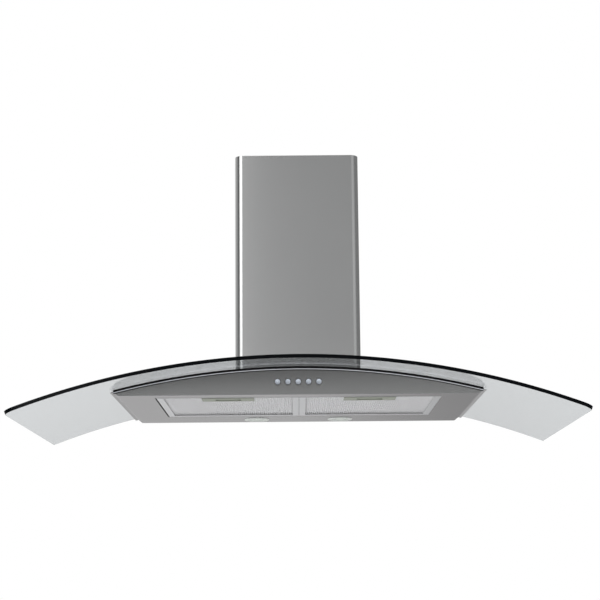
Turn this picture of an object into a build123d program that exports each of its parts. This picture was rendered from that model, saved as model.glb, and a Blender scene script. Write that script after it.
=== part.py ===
"""Wall range hood with a curved glass canopy: every piece as its own solid, in millimetres.

X runs to the right as the user sees it, Y towards the wall and Z up. The wall is the plane Y = 0, and the
flat underside of the canopy is the plane Z = 0. Places towards the user are given as a depth, which is the
distance from the wall.
"""
import math
import os

from build123d import *

# ---------------------------------------------------------------- driving dimensions, mm
# Canopy, the flat steel body under the glass
canopy_width = 700.0          # across the underside
canopy_depth = 399.0          # wall to the foot of the fascia
canopy_sheet = 1.0
side_flare = 9.0              # each side wall leans out by this much
fascia_thickness = 1.5
fascia_lean = 10.0            # the middle of the fascia leans forward by this much
plate_overhang = 6.0          # top plate past the top of each side wall

# Glass, a sheet bent to an arc about an axis parallel to Y
glass_width = 1100.0
glass_depth = 500.0
glass_thickness = 7.0
glass_radius = 1520.0         # of its underside
glass_crown = 54.0            # height of its underside at the middle
glass_corner = 18.0           # front corners, seen from above
notch_corner = 10.0
notch_gap = 2.0               # between the glass and the blower's foot
gasket_thickness = 2.5
gasket_width = 12.0
gasket_proud = 1.0            # in front of the fascia
trim_height = 5.0
trim_proud = 2.0
trim_round = 1.4
seat_gap = 0.1                # between curved faces that rest on each other

# Chimney, two telescopic covers
chimney_width = 260.0
chimney_depth = 250.0
chimney_top = 535.0
chimney_corner = 16.0
chimney_sheet = 1.0
chimney_return = 12.0         # turned-in rear edges
slide_gap = 0.8               # between the two covers
upper_drop = 1.0              # the upper cover's top lies this far below the lower's
upper_travel = 300.0
upper_overlap = 145.0         # left inside the lower cover when the upper one is raised
vent_count = 5
vent_length = 70.0
vent_height = 3.5
vent_pitch = 11.0
vent_drop = 40.0              # from the upper cover's top to the first vent
clip_depth = 60.0
clip_start = 90.0
clip_sheet = 1.5
clip_leg = 22.0
bracket_sheet = 1.5
bracket_height = 25.0
bracket_drop = 6.0            # below the upper cover's top
bracket_half = 112.0
bracket_reach = 40.0
bracket_jog = 12.0
bracket_hole_spacing = 120.0
bracket_hole_radius = 3.0

# Blower housing
airbox_side_gap = 27.2        # from the foot flange to the upper cover, room for the terminal box
airbox_front_gap = 13.2
airbox_top = 290.0
airbox_sheet = 1.2
airbox_flange = 10.0
airway_margin = 10.0          # air opening inside the housing's walls
front_screw_offset = 60.0     # of the two screws in the front flange, from the middle
hanging_slot_height = 262.0
hanging_slot_spacing = 110.0
hanging_slot_length = 16.0
hanging_slot_width = 8.0
safety_hole_spacing = 500.0
safety_hole_height = 18.0
safety_hole_radius = 3.0

# Blower, a double-inlet centrifugal fan on an axis along X
fan_depth = 80.0
fan_height = 150.0
fan_half_width = 50.0
scroll_radius = 70.0          # first of the three quarter turns of the scroll
scroll_growth = 8.0           # each quarter turn is larger by this much
scroll_sheet = 1.0
throat_offset = 6.0           # from the fan's axis to the throat's inner wall
inlet_radius = 50.0
inlet_lip = 5.0
impeller_radius = 62.0
impeller_inner = 50.0
impeller_half_width = 44.0
impeller_ring = 1.5
blade_count = 36
blade_thickness = 0.8
blade_turn = 14.0             # degrees that a blade leans over its depth
blade_inset = 0.2             # inside the rims of the end rings
hub_thickness = 2.0
hub_radius = 9.0
hub_length = 10.0
shaft_radius = 4.0
shaft_gap = 0.05
motor_radius = 38.0
motor_gap = 2.0               # between the hub disc and the motor
motor_past_lip = 1.0          # from the inlet's lip to the motor's outer end
motor_flange = 3.0
motor_flange_radius = 43.0
mount_sheet = 1.5
mount_arm_width = 10.0
mount_arm_reach = 66.0
mount_hole_radius = 10.0
mount_turn = -30.0            # degrees from upright to the first arm
arm_count = 3

# Outlet collar and its two check flaps
collar_radius = 75.0
collar_wall = 1.5
collar_height = 55.0
collar_flange = 10.0
flap_height = 26.0            # hinge pin above the blower housing
flap_thickness = 1.2
flap_gap = 0.7                # between the flaps and the collar's bore
flap_seat_gap = 0.3
pin_radius = 1.5
pin_gap = 0.06
knuckle_radius = 2.8
knuckle_width = 18.0
knuckle_gap = 1.0
flap_clear = 0.6              # from the knuckle to the other flap's plate
ledge_width = 2.5
ledge_thickness = 1.4

# Filters, two side by side in one opening of the underside
opening_width = 564.0
opening_rear = 97.0
opening_front = 363.0
filter_side_gap = 1.6         # from a filter to the opening's side, with both filters centred
filter_middle_gap = 0.3       # from each filter to the middle
filter_shift = 1.2            # both filters rest this far to the right
filter_end_gap = 2.0
filter_height = 9.0
filter_wall = 1.0
filter_band_side = 13.0
filter_band_rear = 14.0
filter_band_front = 4.0
net_thickness = 4.0
net_gap = 0.3
net_pitch_x = 14.0
net_pitch_row = 14.4
net_hole_width = 11.0
net_hole_length = 25.0
net_rim = 3.0                 # solid edge round the holes
tab_width = 20.0
tab_inset = 40.0
tab_thickness = 1.5
tab_reach = 9.0               # over the rear edge of the opening
ledge_gap = 0.3               # between a filter's tabs and the sheet they rest on

# Filter catch
handle_width = 103.0
handle_front = 360.0
handle_rear = 322.0
handle_thickness = 1.0
recess_width = 50.0
recess_rear = 327.0
recess_wall = 1.0
catch_width = 20.0
catch_thickness = 2.5
catch_short = 1.5             # the drawn-back nose stops this far short of the sheet
catch_travel = 6.0
catch_gap = 0.3
finger_width = 36.0
finger_thickness = 3.0
finger_offset = 8.0           # from the recess's rear wall to the finger plate
finger_bottom = -0.6
finger_top = 6.5
finger_stop_gap = 1.0         # in front of the finger plate when the catch is out
spring_radius = 1.8
spring_wire = 0.5
spring_turns = 5
spring_offset = 16.0
spring_end = 0.1

# Lamps
lamp_spacing = 183.0
lamp_depth = 49.0
lamp_flange_radius = 27.0
lamp_flange_thickness = 2.2
lamp_neck_radius = 24.0
lamp_neck_height = 6.0
lamp_bore = 21.0
lamp_lip = 2.0
lamp_lip_thickness = 1.0
lens_thickness = 2.2
can_height = 22.0
can_wall = 0.8
socket_radius = 8.0
socket_height = 8.0
bulb_radius = 5.0
bulb_length = 10.0
bulb_round = 4.5
lamp_gap = 0.2

# Push buttons
button_count = 5
button_pitch = 20.0
button_height = 25.0
button_radius = 5.7
button_proud = 5.0
button_edge = 0.8
button_rear = 6.0             # rear face of the cap behind the fascia's front
button_gap = 0.35
button_travel = 3.0
stem_radius = 3.0
stem_gap = 0.05
stem_length = 20.0
switch_depth = 30.0
switch_height = 20.0
switch_margin = 11.0

# Electrical parts on the blower housing
junction_depth = 70.0
junction_start = 60.0
junction_thickness = 22.0
junction_bottom = 200.0
junction_top = 285.0
junction_wall = 1.5
gland_radius = 9.0
gland_neck_radius = 7.2
gland_bore = 4.0
gland_height = 18.0
capacitor_start = 90.0
capacitor_depth = 40.0
capacitor_thickness = 18.0
capacitor_bottom = 220.0
capacitor_height = 40.0
capacitor_edge = 3.0

# Screws
screw_radius = 2.0
screw_head_radius = 3.6
screw_head_height = 2.0
screw_gap = 0.15
screw_length = 8.0
glass_screw_radius = 2.5
glass_screw_offset = 13.0     # outwards from the notch's side
glass_screw_depths = (40.0, 200.0)
bush_radius = 6.0
bush_gap = 0.2
washer_radius = 9.0
washer_thickness = 1.5

past = 1.0                    # cutting tools run past the faces they cut

# ---------------------------------------------------------------- derived sizes
canopy_half = canopy_width / 2
arc_centre = glass_crown - glass_radius
gasket_high = glass_radius - seat_gap
gasket_low = gasket_high - gasket_thickness
plate_high = gasket_low - seat_gap
plate_low = plate_high - canopy_sheet
glass_high = glass_radius + glass_thickness
lean = math.atan(fascia_lean / glass_crown)
side_top_half = canopy_half + side_flare
plate_half = side_top_half + plate_overhang

upper_top = chimney_top - upper_drop
upper_foot = chimney_top - upper_overlap - upper_travel
upper_half = chimney_width / 2 - chimney_sheet - slide_gap
upper_depth = chimney_depth - chimney_sheet - slide_gap
upper_rear = chimney_sheet + slide_gap
upper_inner = upper_half - chimney_sheet

flange_half = upper_inner - airbox_side_gap
flange_front = upper_depth - chimney_sheet - airbox_front_gap
flange_high = plate_high + seat_gap + airbox_sheet
airbox_half = flange_half - airbox_flange
airbox_depth = flange_front - airbox_flange
notch_half = flange_half + notch_gap
notch_front = flange_front + notch_gap

throat_rear = fan_depth + throat_offset
scroll_last = scroll_radius + 2 * scroll_growth
throat_front = fan_depth + scroll_growth / 2 + scroll_last
throat_middle = (throat_rear + throat_front) / 2
scroll_outlet = airbox_top - airbox_sheet

opening_half = opening_width / 2
recess_front = recess_rear + finger_offset + finger_thickness + catch_travel + finger_stop_gap
tab_height = canopy_sheet + ledge_gap     # underside of the tabs and of the catch's bar
lamp_places = (-lamp_spacing / 2, lamp_spacing / 2)
button_places = [(n - (button_count - 1) / 2) * button_pitch for n in range(button_count)]
fascia_plane = Plane(
    origin=(0, -canopy_depth, 0), x_dir=(1, 0, 0), z_dir=(0, -math.cos(lean), -math.sin(lean))
)
far = 2 * glass_width         # larger than the object, for cutting tools


# ---------------------------------------------------------------- shared shapes
def at(x, depth, z):
    return Vector(x, -depth, z)


def block(x_low, x_high, depth_low, depth_high, z_low, z_high):
    """A box between two places on each axis."""
    middle = at((x_low + x_high) / 2, (depth_low + depth_high) / 2, (z_low + z_high) / 2)
    return Pos(middle) * Box(x_high - x_low, depth_high - depth_low, z_high - z_low)


def rod(radius, start, end):
    """A round bar between two points."""
    run = end - start
    return extrude(Plane(origin=start, z_dir=run) * Circle(radius), run.length)


def tube(outer, inner, start, end):
    return rod(outer, start, end) - rod(inner, start, end)


def arc_height(radius, x):
    """Height at x of the arc of this radius about the glass's axis."""
    return arc_centre + math.sqrt(radius**2 - x**2)


def under_arc(radius):
    """Everything under an arc, as a tool for cutting or keeping."""
    return rod(radius, at(0, -far, arc_centre), at(0, far, arc_centre))


def arc_band(half_width, low, high, depth_low, depth_high):
    """A sheet bent to the glass's arc, between two radii."""
    def point(radius, x):
        return (x, arc_height(radius, x))

    face = make_face(
        ThreePointArc(point(low, -half_width), point(low, 0), point(low, half_width))
        + Line(point(low, half_width), point(high, half_width))
        + ThreePointArc(point(high, half_width), point(high, 0), point(high, -half_width))
        + Line(point(high, -half_width), point(low, -half_width))
    )
    return extrude(Plane.XZ.offset(depth_low) * face, depth_high - depth_low)


def behind_fascia(offset):
    """The space behind the leaning plane that lies this far in front of the fascia's face."""
    return extrude(fascia_plane.offset(offset) * Rectangle(far, far), -far)


def side_line(height):
    """Half width between the outer faces of the flared side walls at a height."""
    return canopy_half + side_flare * height / arc_height(plate_low, side_top_half)


def between_sides(inset, depth_low, depth_high):
    """The space between the flared side walls, this far inside their outer faces."""
    low, high = side_line(0) - inset, side_line(2 * glass_crown) - inset
    outline = Polyline((-low, 0), (low, 0), (high, 2 * glass_crown), (-high, 2 * glass_crown), close=True)
    return extrude(Plane.XZ.offset(depth_low) * make_face(outline), depth_high - depth_low)


def rounded_plan(half_width, depth_low, depth_high, corner):
    """A plan outline with its two front corners rounded, pulled up through the whole height."""
    plan = Pos(0, -(depth_low + depth_high) / 2) * Rectangle(2 * half_width, depth_high - depth_low)
    plan = fillet(plan.vertices().group_by(Axis.Y)[0], corner)
    return extrude(Plane.XY.offset(-far) * plan, 2 * far)


def wall_hole(radius, x, height):
    """A tool for a screw hole through any sheet that lies against the wall."""
    return rod(radius, at(x, -past, height), at(x, 2 * bracket_sheet, height))


def on_fascia(x, height, offset):
    """Location on the fascia, at a height along its face and an offset in front of it."""
    return fascia_plane.location * Pos(x, height, offset)


def screw(head_base, direction, radius=screw_radius, length=screw_length):
    """A pan-head screw: the head stands on its seat and the shank goes the other way."""
    out = direction.normalized()
    head = rod(screw_head_radius, head_base, head_base + out * screw_head_height)
    return head + rod(radius, head_base - out * length, head_base)


# ---------------------------------------------------------------- canopy
def canopy_pan():
    pan = block(-canopy_half, canopy_half, 0, canopy_depth + fascia_lean, 0, canopy_sheet)
    pan &= behind_fascia(-fascia_thickness)
    pan -= block(-opening_half, opening_half, opening_rear, opening_front, -past, canopy_sheet + past)
    for x in lamp_places:
        pan -= lamp_line(lamp_neck_radius + lamp_gap, x, -past, canopy_sheet + past)
    return pan


def canopy_back():
    back = between_sides(0, 0, canopy_sheet) & under_arc(plate_low - seat_gap)
    back -= block(-far, far, -past, canopy_sheet + past, -past, canopy_sheet)
    for side in (-1, 1):
        back -= wall_hole(safety_hole_radius, side * safety_hole_spacing / 2, safety_hole_height)
    return back


def canopy_side(side):
    wall = between_sides(0, canopy_sheet, canopy_depth + fascia_lean)
    wall -= between_sides(canopy_sheet, 0, canopy_depth + 2 * fascia_lean)
    wall &= under_arc(plate_low - seat_gap)
    wall &= behind_fascia(-fascia_thickness)
    half = block(0, far, 0, far, canopy_sheet, far)
    return wall & (half if side > 0 else mirror(half, Plane.YZ))


def top_plate():
    """The bent plate under the glass: two wings, a bridge before the air opening and a strip behind it."""
    plate = arc_band(plate_half, plate_low, plate_high, 0, canopy_depth + 2 * fascia_lean)
    plate &= behind_fascia(-fascia_thickness)
    inner = airbox_half - airbox_sheet - airway_margin
    plate -= block(-inner, inner, airway_margin, airbox_depth - airbox_sheet - airway_margin, 0, far)
    for x, depth in glass_screw_places():
        plate -= rod(glass_screw_radius + screw_gap, at(x, depth, 0), at(x, depth, far))
    for x, depth in flange_screw_places():
        plate -= rod(screw_radius + screw_gap, at(x, depth, 0), at(x, depth, far))
    between = block(-inner, inner, -far, far, 0, far)
    return Compound(children=(plate - between).solids() + (plate & between).solids())


def control_fascia():
    plate = behind_fascia(0) - behind_fascia(-fascia_thickness)
    plate &= between_sides(0, 0, canopy_depth + 2 * fascia_lean)
    plate &= under_arc(plate_high)
    for x in button_places:
        hole = Cylinder(button_radius + button_gap, 4 * fascia_thickness)
        plate -= on_fascia(x, button_height, 0) * hole
    return plate


def fascia_trim():
    """The half-round polished bead along the top of the fascia."""
    bead = arc_band(side_top_half, plate_high - trim_height, plate_high, 0, canopy_depth + 2 * fascia_lean)
    bead &= between_sides(0, 0, canopy_depth + 2 * fascia_lean)
    bead &= behind_fascia(trim_proud) - behind_fascia(0)
    def proud(face):
        return (face.center() - fascia_plane.origin).dot(fascia_plane.z_dir)

    front = bead.faces().sort_by(proud)[-1]
    long_edges = front.edges().sort_by(SortBy.LENGTH)[-2:]
    return fillet(long_edges, min(trim_round, 0.7 * trim_proud, 0.4 * trim_height))


def glass_gasket():
    """A black strip round the top plate, open at the wall."""
    front = canopy_depth + 2 * fascia_lean
    outer = arc_band(side_top_half, gasket_low, gasket_high, 0, front) & behind_fascia(gasket_proud)
    inner = arc_band(side_top_half - gasket_width, gasket_low - past, gasket_high + past, -past, front)
    return outer - (inner & behind_fascia(gasket_proud - gasket_width))


# ---------------------------------------------------------------- glass
def glass_screw_places():
    x = notch_half + glass_screw_offset
    return [(side * x, depth) for side in (-1, 1) for depth in glass_screw_depths]


def glass_panel():
    panel = arc_band(glass_width / 2 + past, glass_radius, glass_high, -past, glass_depth + past)
    panel &= rounded_plan(glass_width / 2, 0, glass_depth, glass_corner)
    panel -= rounded_plan(notch_half, -far, notch_front, notch_corner)
    for x, depth in glass_screw_places():
        panel -= rod(bush_radius + bush_gap, at(x, depth, 0), at(x, depth, far))
    return panel


def glass_bushes():
    """Rubber bushes in the glass, from the top plate to just above the glass."""
    bushes = []
    for x, depth in glass_screw_places():
        top = arc_height(glass_high, abs(x) - washer_radius) + seat_gap
        bush = tube(bush_radius, glass_screw_radius + screw_gap, at(x, depth, 0), at(x, depth, top))
        bushes.append(bush - under_arc(plate_high + seat_gap))
    return Compound(children=bushes)


def glass_screws():
    screws = []
    for x, depth in glass_screw_places():
        base = arc_height(glass_high, abs(x) - washer_radius) + seat_gap
        length = base - arc_height(plate_low, abs(x)) + 2 * canopy_sheet
        washer = rod(washer_radius, at(x, depth, base), at(x, depth, base + washer_thickness))
        bolt = screw(at(x, depth, base + washer_thickness), Vector(0, 0, 1), glass_screw_radius, length)
        screws.append(washer + bolt)
    return Compound(children=screws)


# ---------------------------------------------------------------- chimney
def channel(half_width, rear, front, corner, z_low, z_high):
    """A sheet folded to three sides, with rounded front corners and turned-in rear edges."""
    def prism(inset):
        plan = Pos(0, -(rear + front) / 2) * Rectangle(2 * (half_width - inset), front - rear - 2 * inset)
        plan = fillet(plan.vertices().group_by(Axis.Y)[0], corner - inset)
        return extrude(Plane.XY.offset(z_low) * plan, z_high - z_low)

    mouth = half_width - chimney_return
    gap = block(-mouth, mouth, rear - past, rear + 2 * chimney_sheet, z_low, z_high)
    return prism(0) - prism(chimney_sheet) - gap


def lower_chimney():
    cover = channel(chimney_width / 2, 0, chimney_depth, chimney_corner, 0, chimney_top)
    cover -= under_arc(glass_high + seat_gap)
    for side in (-1, 1):
        cover -= clip_screw_hole(side)
    return cover


def upper_chimney():
    corner = chimney_corner - chimney_sheet - slide_gap
    cover = channel(upper_half, upper_rear, upper_depth, corner, upper_foot, upper_top)
    middle = (upper_rear + upper_depth) / 2
    for n in range(vent_count):
        z = upper_top - vent_drop - n * vent_pitch
        cover -= block(-far, far, middle - vent_length / 2, middle + vent_length / 2, z - vent_height, z)
    for side in (-1, 1):
        cover -= bracket_screw_hole(side)
    return cover


def clip_screw_hole(side):
    z, depth = upper_foot - clip_sheet - clip_leg / 2, clip_start + clip_depth / 2
    outer, inner = chimney_width / 2 + past, chimney_width / 2 - screw_length
    return rod(screw_radius + screw_gap, at(side * outer, depth, z), at(side * inner, depth, z))


def chimney_clips():
    """Two bridges from the blower housing to the lower cover; the upper cover stands on them."""
    clips = []
    outer = chimney_width / 2 - chimney_sheet
    depths = (clip_start, clip_start + clip_depth)
    top = upper_foot - ledge_gap
    for side in (-1, 1):
        low, high = sorted((side * airbox_half, side * outer))
        clip = block(low, high, *depths, top - clip_sheet, top)
        for x, inward in ((airbox_half, 1), (outer, -1)):
            low, high = sorted((side * x, side * (x + inward * clip_sheet)))
            clip += block(low, high, *depths, top - clip_leg, top)
        clips.append(clip - clip_screw_hole(side))
    return Compound(children=clips)


def chimney_screws():
    z, depth = upper_foot - clip_sheet - clip_leg / 2, clip_start + clip_depth / 2
    return Compound(
        children=[screw(at(side * chimney_width / 2, depth, z), Vector(side, 0, 0)) for side in (-1, 1)]
    )


def bracket_screw_hole(side):
    z, depth = upper_top - bracket_drop - bracket_height / 2, (bracket_jog + bracket_reach) / 2
    outer, inner = upper_half + past, upper_inner - 2 * bracket_sheet
    return rod(screw_radius + screw_gap, at(side * outer, depth, z), at(side * inner, depth, z))


def chimney_bracket():
    """A bent strap in the top of the upper cover, with two holes for the wall."""
    low, high = upper_top - bracket_drop - bracket_height, upper_top - bracket_drop
    strap = block(-bracket_half, bracket_half, 0, bracket_sheet, low, high)
    tab = upper_inner - seat_gap
    for side in (-1, 1):
        for x0, x1, d0, d1 in (
            (bracket_half - bracket_sheet, bracket_half, 0, bracket_jog),
            (bracket_half - bracket_sheet, tab, bracket_jog - bracket_sheet, bracket_jog),
            (tab - bracket_sheet, tab, bracket_jog - bracket_sheet, bracket_reach),
        ):
            left, right = sorted((side * x0, side * x1))
            strap += block(left, right, d0, d1, low, high)
        x, z = side * bracket_hole_spacing / 2, (low + high) / 2
        strap -= wall_hole(bracket_hole_radius, x, z)
        strap -= bracket_screw_hole(side)
    return strap


def bracket_screws():
    """Two screws, turned from inside the cover so that their heads clear the lower cover."""
    z, depth = upper_top - bracket_drop - bracket_height / 2, (bracket_jog + bracket_reach) / 2
    seat = upper_inner - seat_gap - bracket_sheet
    length = upper_half - seat
    return Compound(
        children=[screw(at(side * seat, depth, z), Vector(-side, 0, 0), length=length) for side in (-1, 1)]
    )


# ---------------------------------------------------------------- blower housing
def flange_screw_places():
    side = airbox_half + airbox_flange / 2
    front = airbox_depth + airbox_flange / 2
    depths = (airbox_depth / 8, airbox_depth / 2, airbox_depth * 7 / 8)
    places = [(s * side, depth) for s in (-1, 1) for depth in depths]
    return places + [(s * front_screw_offset, front) for s in (-1, 1)]


def airbox_shell():
    """Four walls with a foot flange that follows the top plate."""
    top = airbox_top - airbox_sheet
    inner = airbox_half - airbox_sheet
    hollow = block(-inner, inner, airbox_sheet, airbox_depth - airbox_sheet, -far, far)
    walls = block(-airbox_half, airbox_half, 0, airbox_depth, 0, top) - hollow
    walls -= under_arc(flange_high - airbox_sheet / 2)
    foot = arc_band(flange_half, plate_high + seat_gap, flange_high, 0, flange_front) - hollow
    shell = walls + foot
    for x, depth in flange_screw_places():
        shell -= rod(screw_radius + screw_gap, at(x, depth, 0), at(x, depth, glass_crown + airbox_flange))
    for side in (-1, 1):
        radius = hanging_slot_width / 2
        reach = hanging_slot_length / 2 - radius
        x, z = side * hanging_slot_spacing / 2, hanging_slot_height
        shell -= block(x - reach, x + reach, -past, 2 * airbox_sheet, z - radius, z + radius)
        for end in (x - reach, x + reach):
            shell -= wall_hole(radius, end, z)
    return shell


def airbox_lid():
    """The top of the blower housing, with the opening that the scroll blows through."""
    lid = block(-airbox_half, airbox_half, 0, airbox_depth, airbox_top - airbox_sheet, airbox_top)
    lid -= block(-fan_half_width, fan_half_width, throat_rear, throat_front, 0, far)
    for x, depth in collar_screw_places():
        lid -= rod(screw_radius + screw_gap, at(x, depth, 0), at(x, depth, far))
    return lid


def airbox_screws():
    screws = []
    for x, depth in flange_screw_places():
        base = arc_height(flange_high, max(abs(x) - screw_head_radius, 0)) + seat_gap
        screws.append(screw(at(x, depth, base), Vector(0, 0, 1)))
    return Compound(children=screws)


# ---------------------------------------------------------------- blower
def scroll_region(extra, top):
    """The scroll's side view: three quarter turns that grow, then a straight throat upwards."""
    half_step = scroll_growth / 2
    second, third = scroll_radius + scroll_growth, scroll_last
    # local axes: first along -Y, which is the depth, then Z
    start = (fan_depth - half_step, fan_height - half_step + scroll_radius)
    rear = (fan_depth - half_step - scroll_radius, fan_height - half_step)
    low = (fan_depth + half_step, fan_height - half_step - second)
    front = (fan_depth + half_step + third, fan_height + half_step)
    outline = (
        RadiusArc(start, rear, -scroll_radius)
        + RadiusArc(rear, low, -second)
        + RadiusArc(low, front, -third)
        + Polyline(front, (front[0], top), (throat_rear, top), (throat_rear, start[1]), start)
    )
    face = make_face(outline)
    return offset(face, extra, kind=Kind.INTERSECTION) if extra else face


depth_and_height = Plane(origin=(0, 0, 0), x_dir=(0, -1, 0), z_dir=(-1, 0, 0))


def scroll_prism(extra, x_low, x_high):
    """The scroll's side view as a solid between two places along X."""
    body = extrude(depth_and_height.offset(-x_high) * scroll_region(extra, scroll_outlet), x_high - x_low)
    return body & block(-far, far, -far, far, -far, scroll_outlet)


def scroll_band():
    inner = extrude(
        depth_and_height.offset(-fan_half_width) * scroll_region(0, scroll_outlet + past), 2 * fan_half_width
    )
    return scroll_prism(scroll_sheet, -fan_half_width, fan_half_width) - inner


def scroll_side(side):
    """A side plate of the scroll, with its inlet."""
    outer = fan_half_width + scroll_sheet
    low, high = sorted((side * fan_half_width, side * outer))
    plate = scroll_prism(scroll_sheet, low, high)
    centre = at(0, fan_depth, fan_height)
    plate -= rod(inlet_radius, centre + Vector(-far, 0, 0), centre + Vector(far, 0, 0))
    lip_start = centre + Vector(side * fan_half_width, 0, 0)
    lip_end = centre + Vector(side * (outer + inlet_lip), 0, 0)
    return plate + tube(inlet_radius + scroll_sheet, inlet_radius, lip_start, lip_end)


def impeller():
    """A squirrel-cage wheel with inlets at both ends and a hub disc in the middle."""
    centre = at(0, fan_depth, fan_height)
    along = Vector(1, 0, 0)
    wheel = rod(impeller_radius, centre - along * hub_thickness / 2, centre + along * hub_thickness / 2)
    wheel += rod(hub_radius, centre - along * (hub_length - hub_thickness / 2), centre)
    for side in (-1, 1):
        end = centre + along * side * impeller_half_width
        wheel += tube(impeller_radius, impeller_inner, end, end - along * side * impeller_ring)
    blade_depth = impeller_radius - impeller_inner - 2 * blade_inset
    for n in range(blade_count):
        turn = Rot(X=360 * n / blade_count)
        blade = Box(2 * impeller_half_width - impeller_ring, blade_depth, blade_thickness)
        spot = Pos(0, (impeller_radius + impeller_inner) / 2, 0) * Rot(X=blade_turn)
        wheel += Pos(centre) * turn * spot * blade
    return wheel - rod(shaft_radius, centre - along * far, centre + along * far)


def motor_face():
    """X of the motor's outer end, where it meets its mount."""
    return fan_half_width + scroll_sheet + inlet_lip + motor_past_lip


def motor_shaft():
    centre = at(0, fan_depth, fan_height)
    end = motor_face() - motor_flange
    return rod(shaft_radius, centre - Vector(hub_length, 0, 0), centre + Vector(end, 0, 0))


def motor():
    centre = at(0, fan_depth, fan_height)
    start, end = hub_thickness / 2 + motor_gap, motor_face()
    can = rod(motor_radius, centre + Vector(start, 0, 0), centre + Vector(end, 0, 0))
    can += rod(motor_flange_radius, centre + Vector(end - motor_flange, 0, 0), centre + Vector(end, 0, 0))
    bearing = rod(shaft_radius + shaft_gap, centre, centre + Vector(end - motor_flange + shaft_gap, 0, 0))
    return can - bearing


def motor_mount():
    """A ring on the motor's end, held off the scroll's side plate by three arms."""
    centre = at(0, fan_depth, fan_height)
    low, high = motor_face(), motor_face() + mount_sheet
    ring_ends = centre + Vector(low, 0, 0), centre + Vector(high, 0, 0)
    ring = tube(motor_flange_radius, mount_hole_radius, *ring_ends)
    seat = fan_half_width + scroll_sheet
    start = motor_flange_radius - mount_arm_width / 2
    for n in range(arm_count):
        arm = Pos((low + high) / 2, (start + mount_arm_reach) / 2, 0) * Box(
            mount_sheet, mount_arm_reach - start, mount_arm_width
        )
        foot = Pos((seat + high) / 2, mount_arm_reach - mount_arm_width / 2, 0) * Box(
            high - seat, mount_arm_width, mount_arm_width
        )
        ring += Pos(centre) * Rot(X=360 * n / arm_count + mount_turn) * (arm + foot)
    return ring


def motor_screws():
    """Screws through the feet of the mount into the scroll's side plate."""
    centre = at(0, fan_depth, fan_height)
    head_base = motor_face() + mount_sheet
    screws = []
    for n in range(arm_count):
        turn = math.radians(360 * n / arm_count + mount_turn)
        reach = mount_arm_reach - mount_arm_width / 2
        spot = centre + Vector(head_base, math.cos(turn) * reach, math.sin(turn) * reach)
        screws.append(rod(screw_head_radius, spot, spot + Vector(screw_head_height, 0, 0)))
    return Compound(children=screws)


# ---------------------------------------------------------------- outlet
def collar_screw_places():
    reach = (collar_radius + collar_flange / 2) * math.cos(math.radians(45))
    return [(x * reach, throat_middle + d * reach) for x in (-1, 1) for d in (-1, 1)]


def outlet_collar():
    base, middle = airbox_top, throat_middle
    top = base + collar_height
    collar = tube(collar_radius, collar_radius - collar_wall, at(0, middle, base), at(0, middle, top))
    collar += tube(
        collar_radius + collar_flange,
        collar_radius - collar_wall,
        at(0, middle, base),
        at(0, middle, base + collar_wall),
    )
    bore = collar_radius - collar_wall
    ledge_top = base + flap_height - flap_thickness / 2 - flap_seat_gap
    ledge_ends = at(0, middle, ledge_top - ledge_thickness), at(0, middle, ledge_top)
    ledge = tube(bore, bore - ledge_width, *ledge_ends)
    clear = knuckle_radius + flap_clear
    collar += ledge - block(-far, far, middle - clear, middle + clear, base, top)
    collar -= damper_rod(pin_radius + seat_gap / 2)
    for x, depth in collar_screw_places():
        collar -= rod(screw_radius + screw_gap, at(x, depth, 0), at(x, depth, base + 2 * collar_wall))
    return collar


def damper_rod(radius):
    z, end = airbox_top + flap_height, collar_radius - flap_seat_gap
    return rod(radius, at(-end, throat_middle, z), at(end, throat_middle, z))


def damper_pin():
    return damper_rod(pin_radius)


def knuckle_places(first):
    """Knuckles of the two flaps take turns along the pin, counted from its middle."""
    return [side * (first + 0.5) * (knuckle_width + knuckle_gap) for side in (-1, 1)]


def damper_flap(front):
    """A half disc that swings up about the pin; the front flap lies towards the user."""
    z = airbox_top + flap_height
    sign = 1 if front else -1
    disc = rod(
        collar_radius - collar_wall - flap_gap,
        at(0, throat_middle, z - flap_thickness / 2),
        at(0, throat_middle, z + flap_thickness / 2),
    )
    start = knuckle_radius + flap_clear
    depths = sorted((throat_middle + sign * start, throat_middle + sign * 2 * collar_radius))
    flap = disc & block(-far, far, *depths, 0, far)
    for x in knuckle_places(0 if front else 1):
        ends = (x - knuckle_width / 2, x + knuckle_width / 2)
        flap += rod(knuckle_radius, at(ends[0], throat_middle, z), at(ends[1], throat_middle, z))
        web = sorted((throat_middle, throat_middle + sign * (start + past)))
        flap += block(*ends, *web, z - flap_thickness / 2, z + flap_thickness / 2)
    return flap - damper_rod(pin_radius + pin_gap)


def collar_screws():
    return Compound(
        children=[
            screw(at(x, depth, airbox_top + collar_wall), Vector(0, 0, 1), length=2 * screw_head_height)
            for x, depth in collar_screw_places()
        ]
    )


# ---------------------------------------------------------------- electrical parts
def junction_box():
    """A terminal box on the right of the blower housing, open towards it."""
    outer = block(
        airbox_half,
        airbox_half + junction_thickness,
        junction_start,
        junction_start + junction_depth,
        junction_bottom,
        junction_top,
    )
    inner = block(
        airbox_half - past,
        airbox_half + junction_thickness - junction_wall,
        junction_start + junction_wall,
        junction_start + junction_depth - junction_wall,
        junction_bottom + junction_wall,
        junction_top - junction_wall,
    )
    hole = gland_line(gland_bore + junction_wall, junction_top - 2 * junction_wall, junction_top + past)
    return outer - inner - hole


def gland_line(radius, low, high):
    x, depth = airbox_half + junction_thickness / 2, junction_start + junction_depth / 2
    return rod(radius, at(x, depth, low), at(x, depth, high))


def cable_gland():
    nut = gland_line(gland_radius, junction_top, junction_top + gland_height / 2)
    neck = gland_line(gland_neck_radius, junction_top + gland_height / 2, junction_top + gland_height)
    return nut + neck - gland_line(gland_bore, junction_top - past, junction_top + gland_height + past)


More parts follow.
